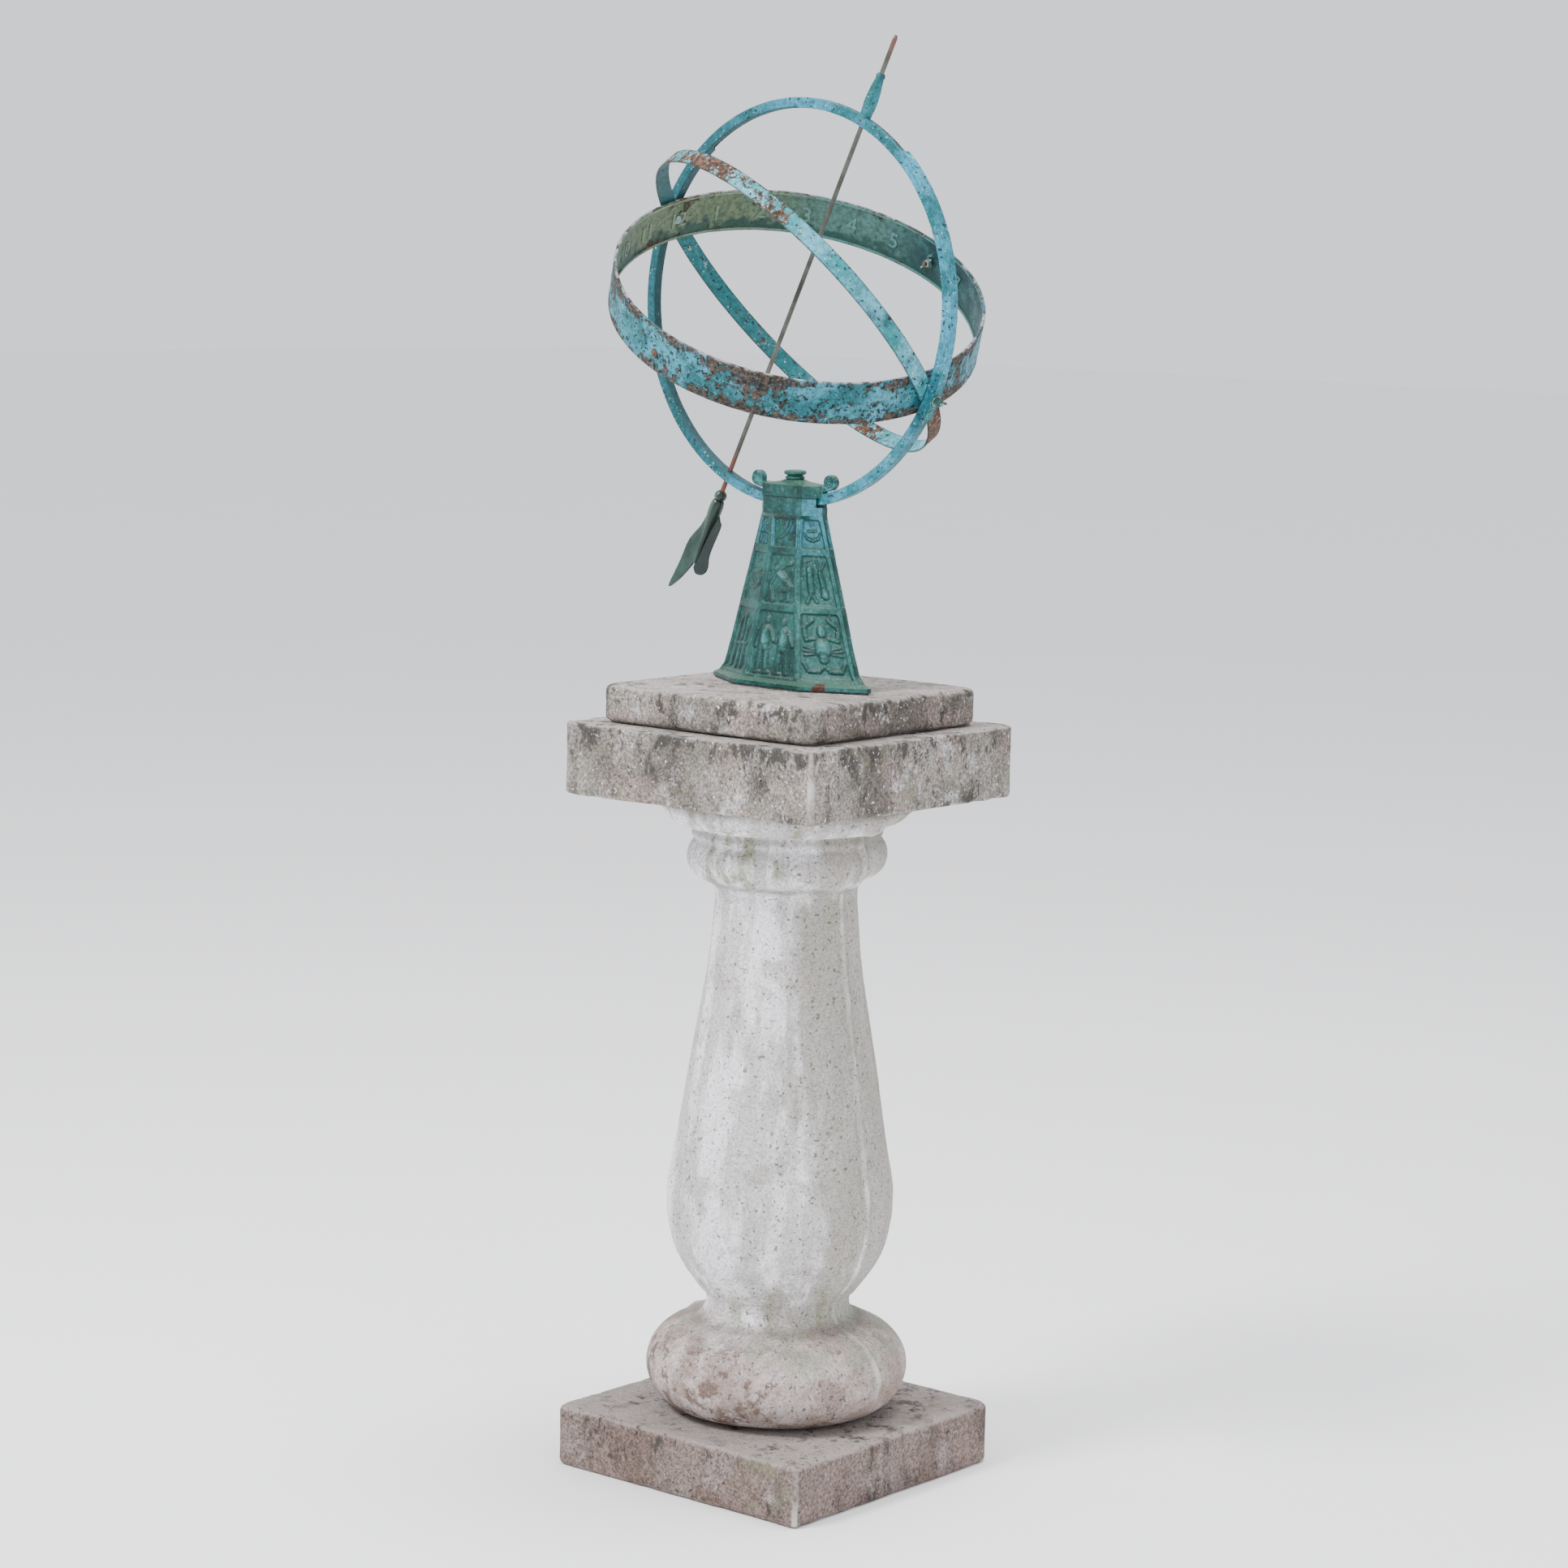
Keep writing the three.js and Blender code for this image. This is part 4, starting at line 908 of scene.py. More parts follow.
WATER_POURER = [
    (-0.42, 0.40, -0.40, 0.42, 0.17), (-0.18, 0.24, 0.28, -0.02, 0.24), (0.40, -0.10, 0.62, -0.30, 0.18),
    (0.58, -0.38, 0.02, -0.44, 0.15), (-0.02, -0.44, 0.12, -0.80, 0.13), (0.58, -0.42, 0.56, -0.82, 0.12),
    (-0.20, 0.36, 0.36, 0.56, 0.10), (0.42, 0.62, 0.66, 0.66, 0.19), (-0.46, 0.10, -0.70, -0.20, 0.09),
    (-0.70, -0.30, -0.50, -0.62, 0.10), (-0.56, -0.66, -0.40, -0.86, 0.13),
    (-0.75, -0.86, -0.62, -0.62, 0.08),
]
FEATHER = [
    (-0.45, -0.42, 0.10, 0.05, 0.09), (0.10, 0.05, 0.42, 0.50, 0.09), (0.42, 0.50, 0.46, 0.86, 0.07),
    (-0.20, -0.36, 0.42, 0.04, 0.06), (0.42, 0.04, 0.70, 0.60, 0.06), (-0.66, -0.62, -0.34, -0.72, 0.07),
    (-0.54, -0.50, -0.48, -0.88, 0.07), (-0.10, 0.20, 0.12, 0.72, 0.06),
]
CRAB = [
    (0.0, 0.42, 0.0, 0.52, 0.22), (0.0, -0.06, 0.0, 0.02, 0.38), (0.0, -0.36, 0.0, -0.30, 0.20),
    (-0.34, 0.26, -0.74, 0.22, 0.10), (-0.74, 0.22, -0.84, 0.58, 0.12), (-0.80, 0.62, -0.42, 0.82, 0.12),
    (0.34, 0.26, 0.74, 0.20, 0.10), (0.74, 0.20, 0.84, 0.56, 0.12), (0.80, 0.62, 0.42, 0.80, 0.12),
    (-0.42, -0.08, -0.84, 0.0, 0.05), (-0.42, -0.15, -0.86, -0.12, 0.05), (-0.40, -0.22, -0.82, -0.26, 0.05),
    (0.42, -0.08, 0.84, 0.0, 0.05), (0.42, -0.15, 0.86, -0.12, 0.05), (0.40, -0.22, 0.82, -0.26, 0.05),
    (-0.86, -0.50, -0.66, -0.74, 0.07), (-0.66, -0.74, -0.22, -0.74, 0.08), (-0.22, -0.74, 0.0, -0.58, 0.07),
    (0.86, -0.50, 0.66, -0.74, 0.07), (0.66, -0.74, 0.22, -0.74, 0.08), (0.22, -0.74, 0.0, -0.58, 0.07),
]
FISH = [
    (-0.42, 0.46, -0.38, 0.30, 0.24), (-0.40, 0.20, -0.36, -0.40, 0.22), (-0.40, -0.50, -0.62, -0.84, 0.11),
    (-0.34, -0.50, -0.08, -0.80, 0.11), (0.44, -0.55, 0.44, -0.40, 0.24), (0.42, -0.24, 0.30, 0.30, 0.18),
    (0.30, 0.40, 0.10, 0.80, 0.09), (0.34, 0.42, 0.70, 0.74, 0.10), (-0.62, 0.74, -0.22, 0.84, 0.06),
]
CRESCENT = [
    (-0.78, 0.02, -0.50, -0.30, 0.10), (-0.50, -0.30, 0.0, -0.46, 0.15), (0.0, -0.46, 0.50, -0.30, 0.15),
    (0.50, -0.30, 0.78, 0.04, 0.10), (-0.40, 0.20, 0.40, 0.24, 0.12), (-0.15, 0.60, 0.20, 0.66, 0.09),
]
SHEAVES = [
    (-0.48, -0.8, -0.42, 0.6, 0.14), (0.0, -0.84, 0.0, 0.72, 0.15), (0.48, -0.8, 0.42, 0.6, 0.14),
    (-0.4, 0.2, -0.75, 0.55, 0.09), (0.4, 0.2, 0.75, 0.55, 0.09), (-0.7, -0.14, 0.7, -0.10, 0.09),
]
# One figure for each panel row, lowest first, on each side of the plan that has panels.
FIGURES = {
    0: [CRAB, FISH, CRESCENT],
    2: [SHEAVES, CRESCENT, FEATHER],
    3: [STANDING_PAIR, FISH, CRESCENT],
    4: [CRAB, WATER_POURER, SHEAVES],
    6: [SHEAVES, CRESCENT, SHEAVES],
    7: [STANDING_PAIR, WATER_POURER, FEATHER],
}


def plan_corners(sections, z):
    """The eight corners of the pillar's plan at a height in mm, between the sections of a table."""
    length, face, depth, end = (np.interp(z, sections[:, 0], sections[:, i]) for i in range(1, 5))
    return np.array([
        [face, -depth], [length, -end], [length, end], [face, depth],
        [-face, depth], [-length, end], [-length, -end], [-face, -depth],
    ])


def stroke_distance(x, y, stroke, stretch):
    """Distance to a stroke, in half panel widths, on a panel that is stretch times as tall as wide."""
    x0, y0, x1, y1, width = stroke
    dx, dy = x1 - x0, (y1 - y0) * stretch
    px, py = x - x0, (y - y0) * stretch
    t = np.clip((px * dx + py * dy) / max(dx * dx + dy * dy, 1e-9), 0, 1)
    return np.hypot(px - t * dx, py - t * dy) - width


def panel_relief(side, row, u, v, width, height):
    """Height in mm over the pillar's face and depth of shade, for u and v from -1 to 1 on a panel."""
    margin = 4.2 if side in FIGURES else 1.6
    x = np.abs(u) * width / 2 - (width / 2 - margin - 3)
    y = np.abs(v) * height / 2 - (height / 2 - 3)
    border = np.hypot(np.maximum(x, 0), np.maximum(y, 0)) + np.minimum(np.maximum(x, y), 0) - 3
    inside = step(0.6, -1.1, border)
    relief = 0.55 * np.exp(-((border - 1.3) / 0.8) ** 2) - 2.0 * inside
    shade = np.exp(-((border + 1.4) / 1.1) ** 2) * step(-0.2, 0.7, v) * 0.9
    if side in FIGURES:
        stretch = height / (width - 2 * margin)
        x = u * width / (width - 2 * margin)
        body = np.zeros(len(u))
        nearest = np.full(len(u), 9.0)
        for stroke in FIGURES[side][row]:
            distance = stroke_distance(x, v, stroke, stretch)
            round_top = np.clip(-distance / stroke[4], 0, 1) * (2 - np.clip(-distance / stroke[4], 0, 1))
            body = np.maximum(body, np.sqrt(round_top) * min(3.0, 8 * stroke[4] + 1.0))
            nearest = np.minimum(nearest, np.abs(distance))
        relief += body * inside
        outline = np.exp(-(nearest / 0.045) ** 2) * inside * 0.75
        shade = np.maximum(shade, outline)
    return relief, shade


def pillar():
    """The hollow casting: eight sides, three rows of sunk panels with figures, and a plain neck."""
    levels = np.unique(np.concatenate([
        np.arange(2.2, 221, 0.9), PILLAR_SECTIONS[:, 0], [SLOT_FLOOR - 0.1, SLOT_FLOOR + 0.1],
    ]))
    grid, lift, dark = [], [], []
    for z in levels:
        corners = plan_corners(PILLAR_SECTIONS, z)
        row_points, row_lift, row_dark = [], [], []
        for side in range(SIDES):
            start, end = corners[side], corners[(side + 1) % SIDES]
            count = END_COLUMNS if side in (1, 5) else LONG_COLUMNS
            t = np.arange(count)[:, None] / count
            width = float(np.linalg.norm(end - start))
            along = (end - start) / width
            outward = np.array([along[1], -along[0]])
            height = np.zeros(count)
            shade = np.full(count, 0.9 if z > 219.6 else 0.0)
            for index, (low, high) in enumerate(PANEL_ROWS):
                if low < z < high:
                    v = np.full(count, (2 * z - low - high) / (high - low))
                    height, shade = panel_relief(side, index, t[:, 0] * 2 - 1, v, width, high - low)
            row_points.append(start + (end - start) * t + outward * height[:, None])
            row_lift.append(height)
            row_dark.append(shade)
        flat = np.vstack(row_points)
        if z > SLOT_FLOOR:
            slot = (np.abs(flat[:, 1]) < SLOT_Y) & (np.abs(flat[:, 0]) > SLOT_X)
            flat[slot, 0] = np.sign(flat[slot, 0]) * SLOT_X
        grid.append(np.column_stack([flat, np.full(len(flat), z)]))
        lift.append(np.concatenate(row_lift))
        dark.append(np.concatenate(row_dark))
    obj = lattice("pillar_skin", np.array(grid) * MM + np.array([0, 0, SLAB_TOP]))
    points = coordinates(obj)
    cast = rough(points, 7 * MM, 3, 71) * 0.22 * MM + rough(points, 30 * MM, 2, 75) * 0.2 * MM
    push_out(obj, points, cast)
    in_slot = np.exp(-(np.linalg.norm(points - RING_SEAT, axis=1) / (9 * MM)) ** 2)
    chip = np.exp(-(np.linalg.norm(points - FLANGE_CHIP, axis=1) / (10 * MM)) ** 2)
    rust = np.clip(in_slot + chip * 1.4, 0, 1)
    paint(obj, raised=np.concatenate(lift) / 1.2, rust=rust, shade=np.concatenate(dark))
    return go(obj, "stand", "green_bronze", "pillar", "dial_pillar")


def cap_roof():
    """The cap's band and its hollow-sided roof, in mm over the slab."""
    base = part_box("pillar_cap")[0].z - SLAB_TOP
    sections = np.array([
        [base / MM, 47.3, 31.1, 21.6, 4.7], [234.3, 46.6, 31.2, 21.7, 4.5],
        [235.2, 45.8, 30.8, 21.2, 4.3], [236.0, 36, 24, 17.5, 4.4], [236.9, 27, 18, 15, 5],
        [238.2, 18, 10.5, 12.5, 5.6], [240.3, 11.6, 5, 11.3, 5],
    ])
    levels = np.unique(np.concatenate([np.arange(sections[0, 0], 240.3, 0.6), sections[:, 0]]))
    grid = []
    for z in levels:
        corners = plan_corners(sections, z)
        outline = np.vstack([
            corners[i] + (corners[(i + 1) % SIDES] - corners[i]) * np.arange(12)[:, None] / 12
            for i in range(SIDES)
        ])
        grid.append(np.column_stack([outline, np.full(len(outline), z)]))
    return lattice("cap_roof", np.array(grid))


def ball(name, place, radii):
    """An egg with these half sizes along X, Y and Z."""
    mesh = bmesh.new()
    bmesh.ops.create_uvsphere(mesh, u_segments=20, v_segments=12, radius=1)
    data = bpy.data.meshes.new(name)
    mesh.to_mesh(data)
    mesh.free()
    obj = linked(name, data)
    transform(obj, Matrix.Translation(place) @ Matrix.Diagonal((*radii, 1)))
    return obj


def cap():
    """Concave roof on a plain band with round studs, and an arm with a scroll at each end."""
    parts = [cap_roof()]
    arm = np.array([
        [36, 228], [46, 228.2], [53, 229.3], [59, 231.6], [62, 235], [57, 240], [50, 236.2], [36, 236],
    ])
    half = SCROLL_HALF
    roll_profile = [[0.3, -half], [8.2, -half], [9, 0.7 - half], [9, half - 0.7], [8.2, half], [0.3, half]]
    for side in (-1, 1):
        outline = arm * [side, 1]
        parts.append(extruded(f"arm_{side}", outline if side < 0 else outline[::-1], 2 * half - 0.2))
        roll = turned(f"roll_{side}", roll_profile, 40, caps=True)
        place = Matrix.Translation((side * SCROLL_X, 0, SCROLL_Z))
        transform(roll, place @ Matrix.Rotation(math.pi / 2, 4, "X"))
        parts.append(roll)
        for x in (-20, 0, 20):
            parts.append(ball("stud", (x, side * 21.5, 229), (2.3, 1.3, 2.3)))
    whole = remeshed("cap_skin", parts, 0.42, 3)
    transform(whole, Matrix.Translation((0, 0, SLAB_TOP)) @ Matrix.Scale(MM, 4))
    roughen(whole, 8 * MM, 3, 81, 0.18 * MM)
    paint(whole, raised=step(45 * MM, 48 * MM, np.abs(coordinates(whole)[:, 0])) * 1.4)
    return go(whole, "stand", "green_bronze", "pillar", "pillar_cap")


def tube(name, path, radius, columns=8):
    """A round bar along a path, its size easing out at both ends."""
    path = np.asarray(path, float)
    tangent = np.gradient(path, axis=0)
    tangent /= np.linalg.norm(tangent, axis=1)[:, None]
    side = np.cross(tangent, [0.0, 1.0, 0.0])
    side /= np.linalg.norm(side, axis=1)[:, None]
    up = np.cross(side, tangent)
    t = np.arange(columns) / columns * 2 * math.pi
    size = radius * np.sqrt(np.clip(np.sin(np.linspace(0.02, math.pi - 0.02, len(path))) * 4, 0, 1))
    offset = side[:, None, :] * np.cos(t)[None, :, None] + up[:, None, :] * np.sin(t)[None, :, None]
    return lattice(name, path[:, None, :] + offset * size[:, None, None])


def scroll_spiral():
    """The wound line on the right-hand scroll's front face."""
    turns = 2.4
    t = np.linspace(0, turns * 2 * math.pi, 120)
    radius = 7.6 - t / t.max() * 6.2
    front = np.full(len(t), -SCROLL_HALF - 0.05)
    path = np.stack([SCROLL_X + radius * np.cos(t), front, SCROLL_Z + radius * np.sin(t)], axis=1)
    obj = tube("scroll_spiral", path * MM + np.array([0, 0, SLAB_TOP]), 0.55 * MM)
    return go(obj, "stand", "green_bronze", "pillar")


def finial():
    """The turned top nut: a foot, a waist and a flat head."""
    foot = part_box("finial_nut")[0].z / MM
    knots = np.array([
        [4.4, 0], [10.2, 0], [11.2, 0.8], [11.5, 1.9], [11.1, 2.9], [9.4, 3.8], [9.2, 4.6],
        [11.6, 5.3], [12.9, 6.4], [13, 8], [12.2, 9.4], [10, 10.2], [5, 10.7], [0.4, 10.8],
    ]) + [0, foot]
    obj = turned("finial_skin", smooth_path(knots, 0.5) * MM, 64, caps=True)
    roughen(obj, 6 * MM, 2, 91, 0.2 * MM)
    return go(obj, "finial", "green_bronze", "pillar", "finial_nut")


def make_pillar():
    pillar()
    cap()
    scroll_spiral()
    finial()
    wear(frame["nodes"]["pillar_lead"], "lead")
    for node in ("tie_rod", "tie_washer", "tie_nut", "ring_end_screw_left", "ring_end_screw_right"):
        wear(frame["nodes"][node], "rust")


# ---- sphere ----
def ring_frame():
    """Places a ring that was made in XY with its axis along Z into the meridian plane, angle 0 at +X."""
    return axes_at((1, 0, 0), (0, 0, 1), (0, -1, 0), CENTRE)


def band_frame(tilt):
    """Places a band made in XY: X on the node axis and Z on the band's own axis."""
    return axes_at(NODE_AXIS, ACROSS, POLAR_AXIS, CENTRE) @ Matrix.Rotation(tilt, 4, "X")


def bent(name, outline, angles, closed=False, lean=0.0):
    """An outline of (radius, height) points swept round Z; lean turns each point by its height."""
    outline = np.asarray(outline, float)
    angles = np.asarray(angles, float)[:, None]
    turn = angles + lean * outline[None, :, 1]
    grid = np.stack([
        outline[None, :, 0] * np.cos(turn),
        outline[None, :, 0] * np.sin(turn),
        np.broadcast_to(outline[None, :, 1], turn.shape),
    ], axis=2)
    return lattice(name, grid, closed_rows=closed)


def meridian_ring():
    """A square bar bent to a C, thinner at the crown, with a groove line on the right-hand flank."""
    outline = bevelled_box_path(RING_INNER, RING_OUTER, -RING_HALF, RING_HALF, 0.9 * MM, 3)
    outline = fine_path(outline, BAND_SPACING, closed=True)
    angles = np.linspace(RING_START, RING_END, 760)
    obj = bent("ring_skin", outline, angles)
    points = coordinates(obj)
    angle = np.arctan2(points[:, 1], points[:, 0])
    crown = step(CROWN_START - 0.01, CROWN_START + 0.01, angle)
    crown *= step(CROWN_END + 0.01, CROWN_END - 0.01, angle)
    back = points[:, 2] < -RING_HALF + CROWN_CUT
    points[:, 2] = np.where(back, points[:, 2] + CROWN_CUT * crown, points[:, 2])
    radius = np.hypot(points[:, 0], points[:, 1])
    wear_height = rough(points, 18 * MM, 3, 101) * 0.25 * MM
    on_flank = points[:, 2] > RING_HALF - 0.6 * MM
    right = step(-1.15, -1.0, angle) * step(0.85, 0.7, angle)
    seam = np.exp(-((radius - RING_INNER - 7.5 * MM) / (0.9 * MM)) ** 2) * on_flank * right
    push_out(obj, points, wear_height - seam * 0.3 * MM)
    dips = np.clip(noise(points, 6 * MM, 103) - 0.55, 0, 1)
    inner_left = (radius < RING_INNER + 1.2 * MM) & (points[:, 0] < 0)
    low_end = np.exp(-((angle - (RING_END - 2 * math.pi)) / math.radians(1.6)) ** 2)
    corner = 1 - step(0, 0.8 * MM, np.minimum(radius - RING_INNER, RING_OUTER - radius))
    shade = inner_left * 0.75 + dips * 1.5 + seam * 0.45 + crown * 0.25
    paint(obj, rust=low_end * 0.7, shade=np.clip(shade, 0, 1), edge=corner * 0.2)
    transform(obj, ring_frame())
    return go(obj, "stand", "verdigris", "ring", "meridian_ring")


def hour_band():
    """A flat band with a raised bead on each inner border and an open scarf joint."""
    half, rim = HOUR_HALF, HOUR_HALF - HOUR_RIM_HEIGHT
    bead = 0.7 * MM
    outline = [
        [HOUR_OUTER, -half + bead], [HOUR_OUTER, half - bead],
        [HOUR_OUTER - bead, half], [HOUR_RIM + bead, half],
        [HOUR_RIM, half - bead], [HOUR_RIM, rim + bead],
        [HOUR_RIM + bead, rim], [HOUR_WEB, rim - 1.0 * MM],
        [HOUR_WEB, -rim + 1.0 * MM], [HOUR_RIM + bead, -rim],
        [HOUR_RIM, -rim - bead], [HOUR_RIM, -half + bead],
        [HOUR_RIM + bead, -half], [HOUR_OUTER - bead, -half],
    ]
    outline = fine_path(outline, 1.5 * MM, closed=True)
    open_half = SPLIT_GAP / math.cos(SPLIT_LEAN) / HOUR_OUTER / 2
    angles = np.linspace(SPLIT_ANGLE + open_half, SPLIT_ANGLE + 2 * math.pi - open_half, 640)
    obj = bent("hour_band_skin", outline, angles, lean=math.tan(SPLIT_LEAN) / HOUR_OUTER)
    points = coordinates(obj)
    radius = np.hypot(points[:, 0], points[:, 1])
    dents = rough(points, 22 * MM, 3, 111) * 0.3 * MM
    dents -= np.clip(noise(points, 7 * MM, 113) - 0.6, 0, 1) * 1.2 * MM * (radius > HOUR_OUTER - 0.5 * MM)
    push_out(obj, points, dents)
    across = points[:, 2] / half
    outside = step(HOUR_OUTER - 1.2 * MM, HOUR_OUTER - 0.4 * MM, radius)
    rim_edge = step(0.965, 0.99, np.abs(across)) * step(-0.4, 0.3, noise(points, 9 * MM, 117))
    # The beads' inner faces, which the hour look paints lighter as highlight.
    beads = (radius < HOUR_RIM + 0.5 * MM) * (np.abs(across) < 0.97) * 0.6
    paint(obj, across=across, outside=outside, raised=beads, edge=rim_edge * 0.9)
    transform(obj, band_frame(HOUR_TILT))
    return go(obj, "hour_ring", "verdigris", "hour", "hour_band")


def hour_numeral(number, angle):
    """A raised number on the inside of the band, upright and read from the middle."""
    curve = bpy.data.curves.new(f"hour_{number}", "FONT")
    curve.body = str(number)
    curve.align_x = "CENTER"
    curve.align_y = "CENTER"
    curve.size = NUMERAL_HEIGHT / DIGIT_SHARE
    curve.extrude = 0.7 * MM
    curve.bevel_depth = 0.35 * MM
    curve.resolution_u = 6
    letter = linked(curve.name, curve)
    bpy.context.view_layer.update()
    mesh = bpy.data.meshes.new_from_object(letter.evaluated_get(bpy.context.evaluated_depsgraph_get()))
    bpy.data.objects.remove(letter)
    obj = linked(f"hour_numeral_{number}_{round(math.degrees(angle))}", mesh)
    points = coordinates(obj)
    points[:, 1] -= (points[:, 1].max() + points[:, 1].min()) / 2
    turn = angle - points[:, 0] / HOUR_WEB
    from_node = np.hypot(wrapped(turn - math.pi) * HOUR_WEB, points[:, 1])
    from_nut = np.hypot(wrapped(turn - math.pi / 2) * HOUR_WEB, points[:, 1] + 3 * MM)
    clear = step(6 * MM, 7.5 * MM, np.minimum(from_node, from_nut))
    lift = (0.3 * MM + points[:, 2]) * clear - 0.1 * MM
    radius = HOUR_WEB - lift
    bent_points = np.stack([radius * np.cos(turn), radius * np.sin(turn), points[:, 1]], axis=1)
    set_coordinates(obj, bent_points)
    none = np.zeros(len(points))
    # raised at 0.45 paints the number lighter, as highlight on its relief.
    paint(obj, across=points[:, 1] / HOUR_HALF, outside=none, raised=none + 0.45, edge=none)
    transform(obj, band_frame(HOUR_TILT))
    return go(obj, "hour_ring", "verdigris", "hour")


def wrapped(angle):
    """The same angle between minus and plus half a turn."""
    return (angle + math.pi) % (2 * math.pi) - math.pi


def hour_numerals():
    """Five in the morning to seven at night, 15 degrees to the hour, with noon at the upper node."""
    for hour in range(-7, 8):
        number = (hour - 1) % 12 + 1
        hour_numeral(number, math.pi - HOUR_STEP * hour)


def ecliptic_band():
    """A thin flat band, flaking on part of its front and where it meets the nodes."""
    outline = bevelled_box_path(ECLIPTIC_INNER, ECLIPTIC_OUTER, -ECLIPTIC_HALF, ECLIPTIC_HALF, 0.5 * MM, 2)
    outline = fine_path(outline, BAND_SPACING, closed=True)
    angles = np.arange(720) / 720 * 2 * math.pi
    obj = bent("ecliptic_skin", outline, angles, closed=True)
    points = coordinates(obj)
    radius = np.hypot(points[:, 0], points[:, 1])
    angle = np.arctan2(points[:, 1], points[:, 0])
    outer = step(ECLIPTIC_OUTER - 0.9 * MM, ECLIPTIC_OUTER - 0.3 * MM, radius)
    dents = rough(points, 20 * MM, 3, 121) * 0.2 * MM
    dents -= np.clip(noise(points, 6 * MM, 123) - 0.55, 0, 1) * 0.9 * MM
    push_out(obj, points, dents)
    border = step(0.86, 0.97, np.abs(points[:, 2]) / ECLIPTIC_HALF)
    flaked = 0.62 * outer * step(0.85, 0.4, np.abs(wrapped(angle + 1.95)))
    flaked += 0.5 * step(0.5, 0.2, np.abs(wrapped(angle - 1.5)))
    flaked += 1.0 * step(0.34, 0.22, np.abs(wrapped(angle - 0.3)))
    flaked += 0.7 * step(0.1, 0.05, np.abs(wrapped(angle - math.pi)))
    tip = step(0.5, 0.2, np.abs(wrapped(angle + 2.75)))
    paint(obj, rust=np.clip(flaked, 0, 1), shade=(1 - outer) * tip * 0.8, edge=border * 0.75)
    transform(obj, band_frame(ECLIPTIC_TILT))
    return go(obj, "ecliptic_ring", "verdigris", "ecliptic", "ecliptic_band")


def wing_outline(side):
    """One ear of a wing nut, in mm: x away from the bolt, z away from the seat."""
    lower = [[1.5, 0.8], [4.5, 1.4], [8.6, 2.3]]
    upper = [[5.2, 5.4], [1.5, 5.0]]
    ear = np.vstack([lower, arc(8.6, 4.9, 2.5, -70, 120, 8), upper]) * [side, 1]
    return ear if side < 0 else ear[::-1]


def wing_nut(name, seat, axis, across):
    """A cast wing nut at its seat: axis points away from the seat, across along the ears."""
    hub_loop = [[2.8, 0], [4.9, 0], [5.1, 0.9], [4.3, 5.6], [3.6, 6.3], [2.8, 6.4]]
    hub = turned("hub", hub_loop, 36, closed=True)
    ears = [extruded(f"ear_{side}", wing_outline(side), 2.0) for side in (-1, 1)]
    whole = remeshed(name, [hub] + ears, 0.3, 3)
    third = axis.cross(across).normalized()
    transform(whole, axes_at(across, third, axis, seat) @ Matrix.Scale(MM, 4))
    paint_plain(whole)
    return whole


def paint_plain(obj):
    """No rust, relief, shade or edges."""
    none = np.zeros(len(obj.data.vertices))
    paint(obj, rust=none, raised=none, shade=none, edge=none)


def node_wing_nuts():
    """The wing nuts that hold the bands to the ring at the two nodes."""
    for name in ("upper", "lower"):
        axis = Vector(JOINTS[f"{name}_nut_turn"]["axis"])
        seat = CENTRE + axis * (washer_outside(name) + 0.3 * MM)
        nut = wing_nut(f"wing_nut_{name}", seat, axis, ACROSS)
        go(nut, f"{name}_nut", "green_bronze", "pillar", f"node_wing_nut_{name}")


def washer_outside(name):
    """How far the outer face of a node's washer is from the centre."""
    points = coordinates(frame["nodes"][f"node_washer_{name}"]) - np.array(CENTRE)
    return float(np.abs(points @ np.array(NODE_AXIS)).max())


def hour_wing_nut():
    """The wing nut inside the hour band, by the 6."""
    joint = JOINTS["hour_nut_turn"]
    outward = Vector(joint["axis"])
    height_axis = NODE_AXIS.cross(outward).normalized()
    seat = Vector(joint["pos_m"]) - outward * 0.3 * MM
    across = (height_axis * 0.8 + NODE_AXIS * 0.6).normalized()
    nut = wing_nut("wing_nut_hour", seat, -outward, across)
    return go(nut, "hour_nut", "pale_bronze", "pale_metal", "band_wing_nut")


def splice_and_hardware():
    """Materials for the small parts that keep their CAD shapes."""
    for node in ("splice_strip", "strip_rivet"):
        wear(frame["nodes"][node], "ring")
    for name in ("upper", "lower"):
        for kind in ("bolt", "spacer", "washer"):
            wear(frame["nodes"][f"node_{kind}_{name}"], "pale_metal")
        wear(frame["nodes"][f"rod_set_screw_{name}"], "rust")
    for node in ("band_bolt", "band_screw", "band_nut", "tail_pin"):
        wear(frame["nodes"][node], "rust")


# ---- gnomon ----
# The rod's radius and its ends along the polar axis, in mm from the ring's centre.
ROD_RADIUS = 2.75
ROD_LOW = -263.6
ROD_HIGH = 333
# The tail's two fins: their thickness in mm, and how far each leans off the flat in degrees.
VANE_THICKNESS = 2.8
VANE_LEAN = 15


def polar_place():
    """Places a shape made along Z, with X on the node axis, on the rod."""
    return Matrix.Translation(ROD_POINT) @ Matrix.Rotation(POLAR_TILT, 4, "Y") @ Matrix.Scale(MM, 4)


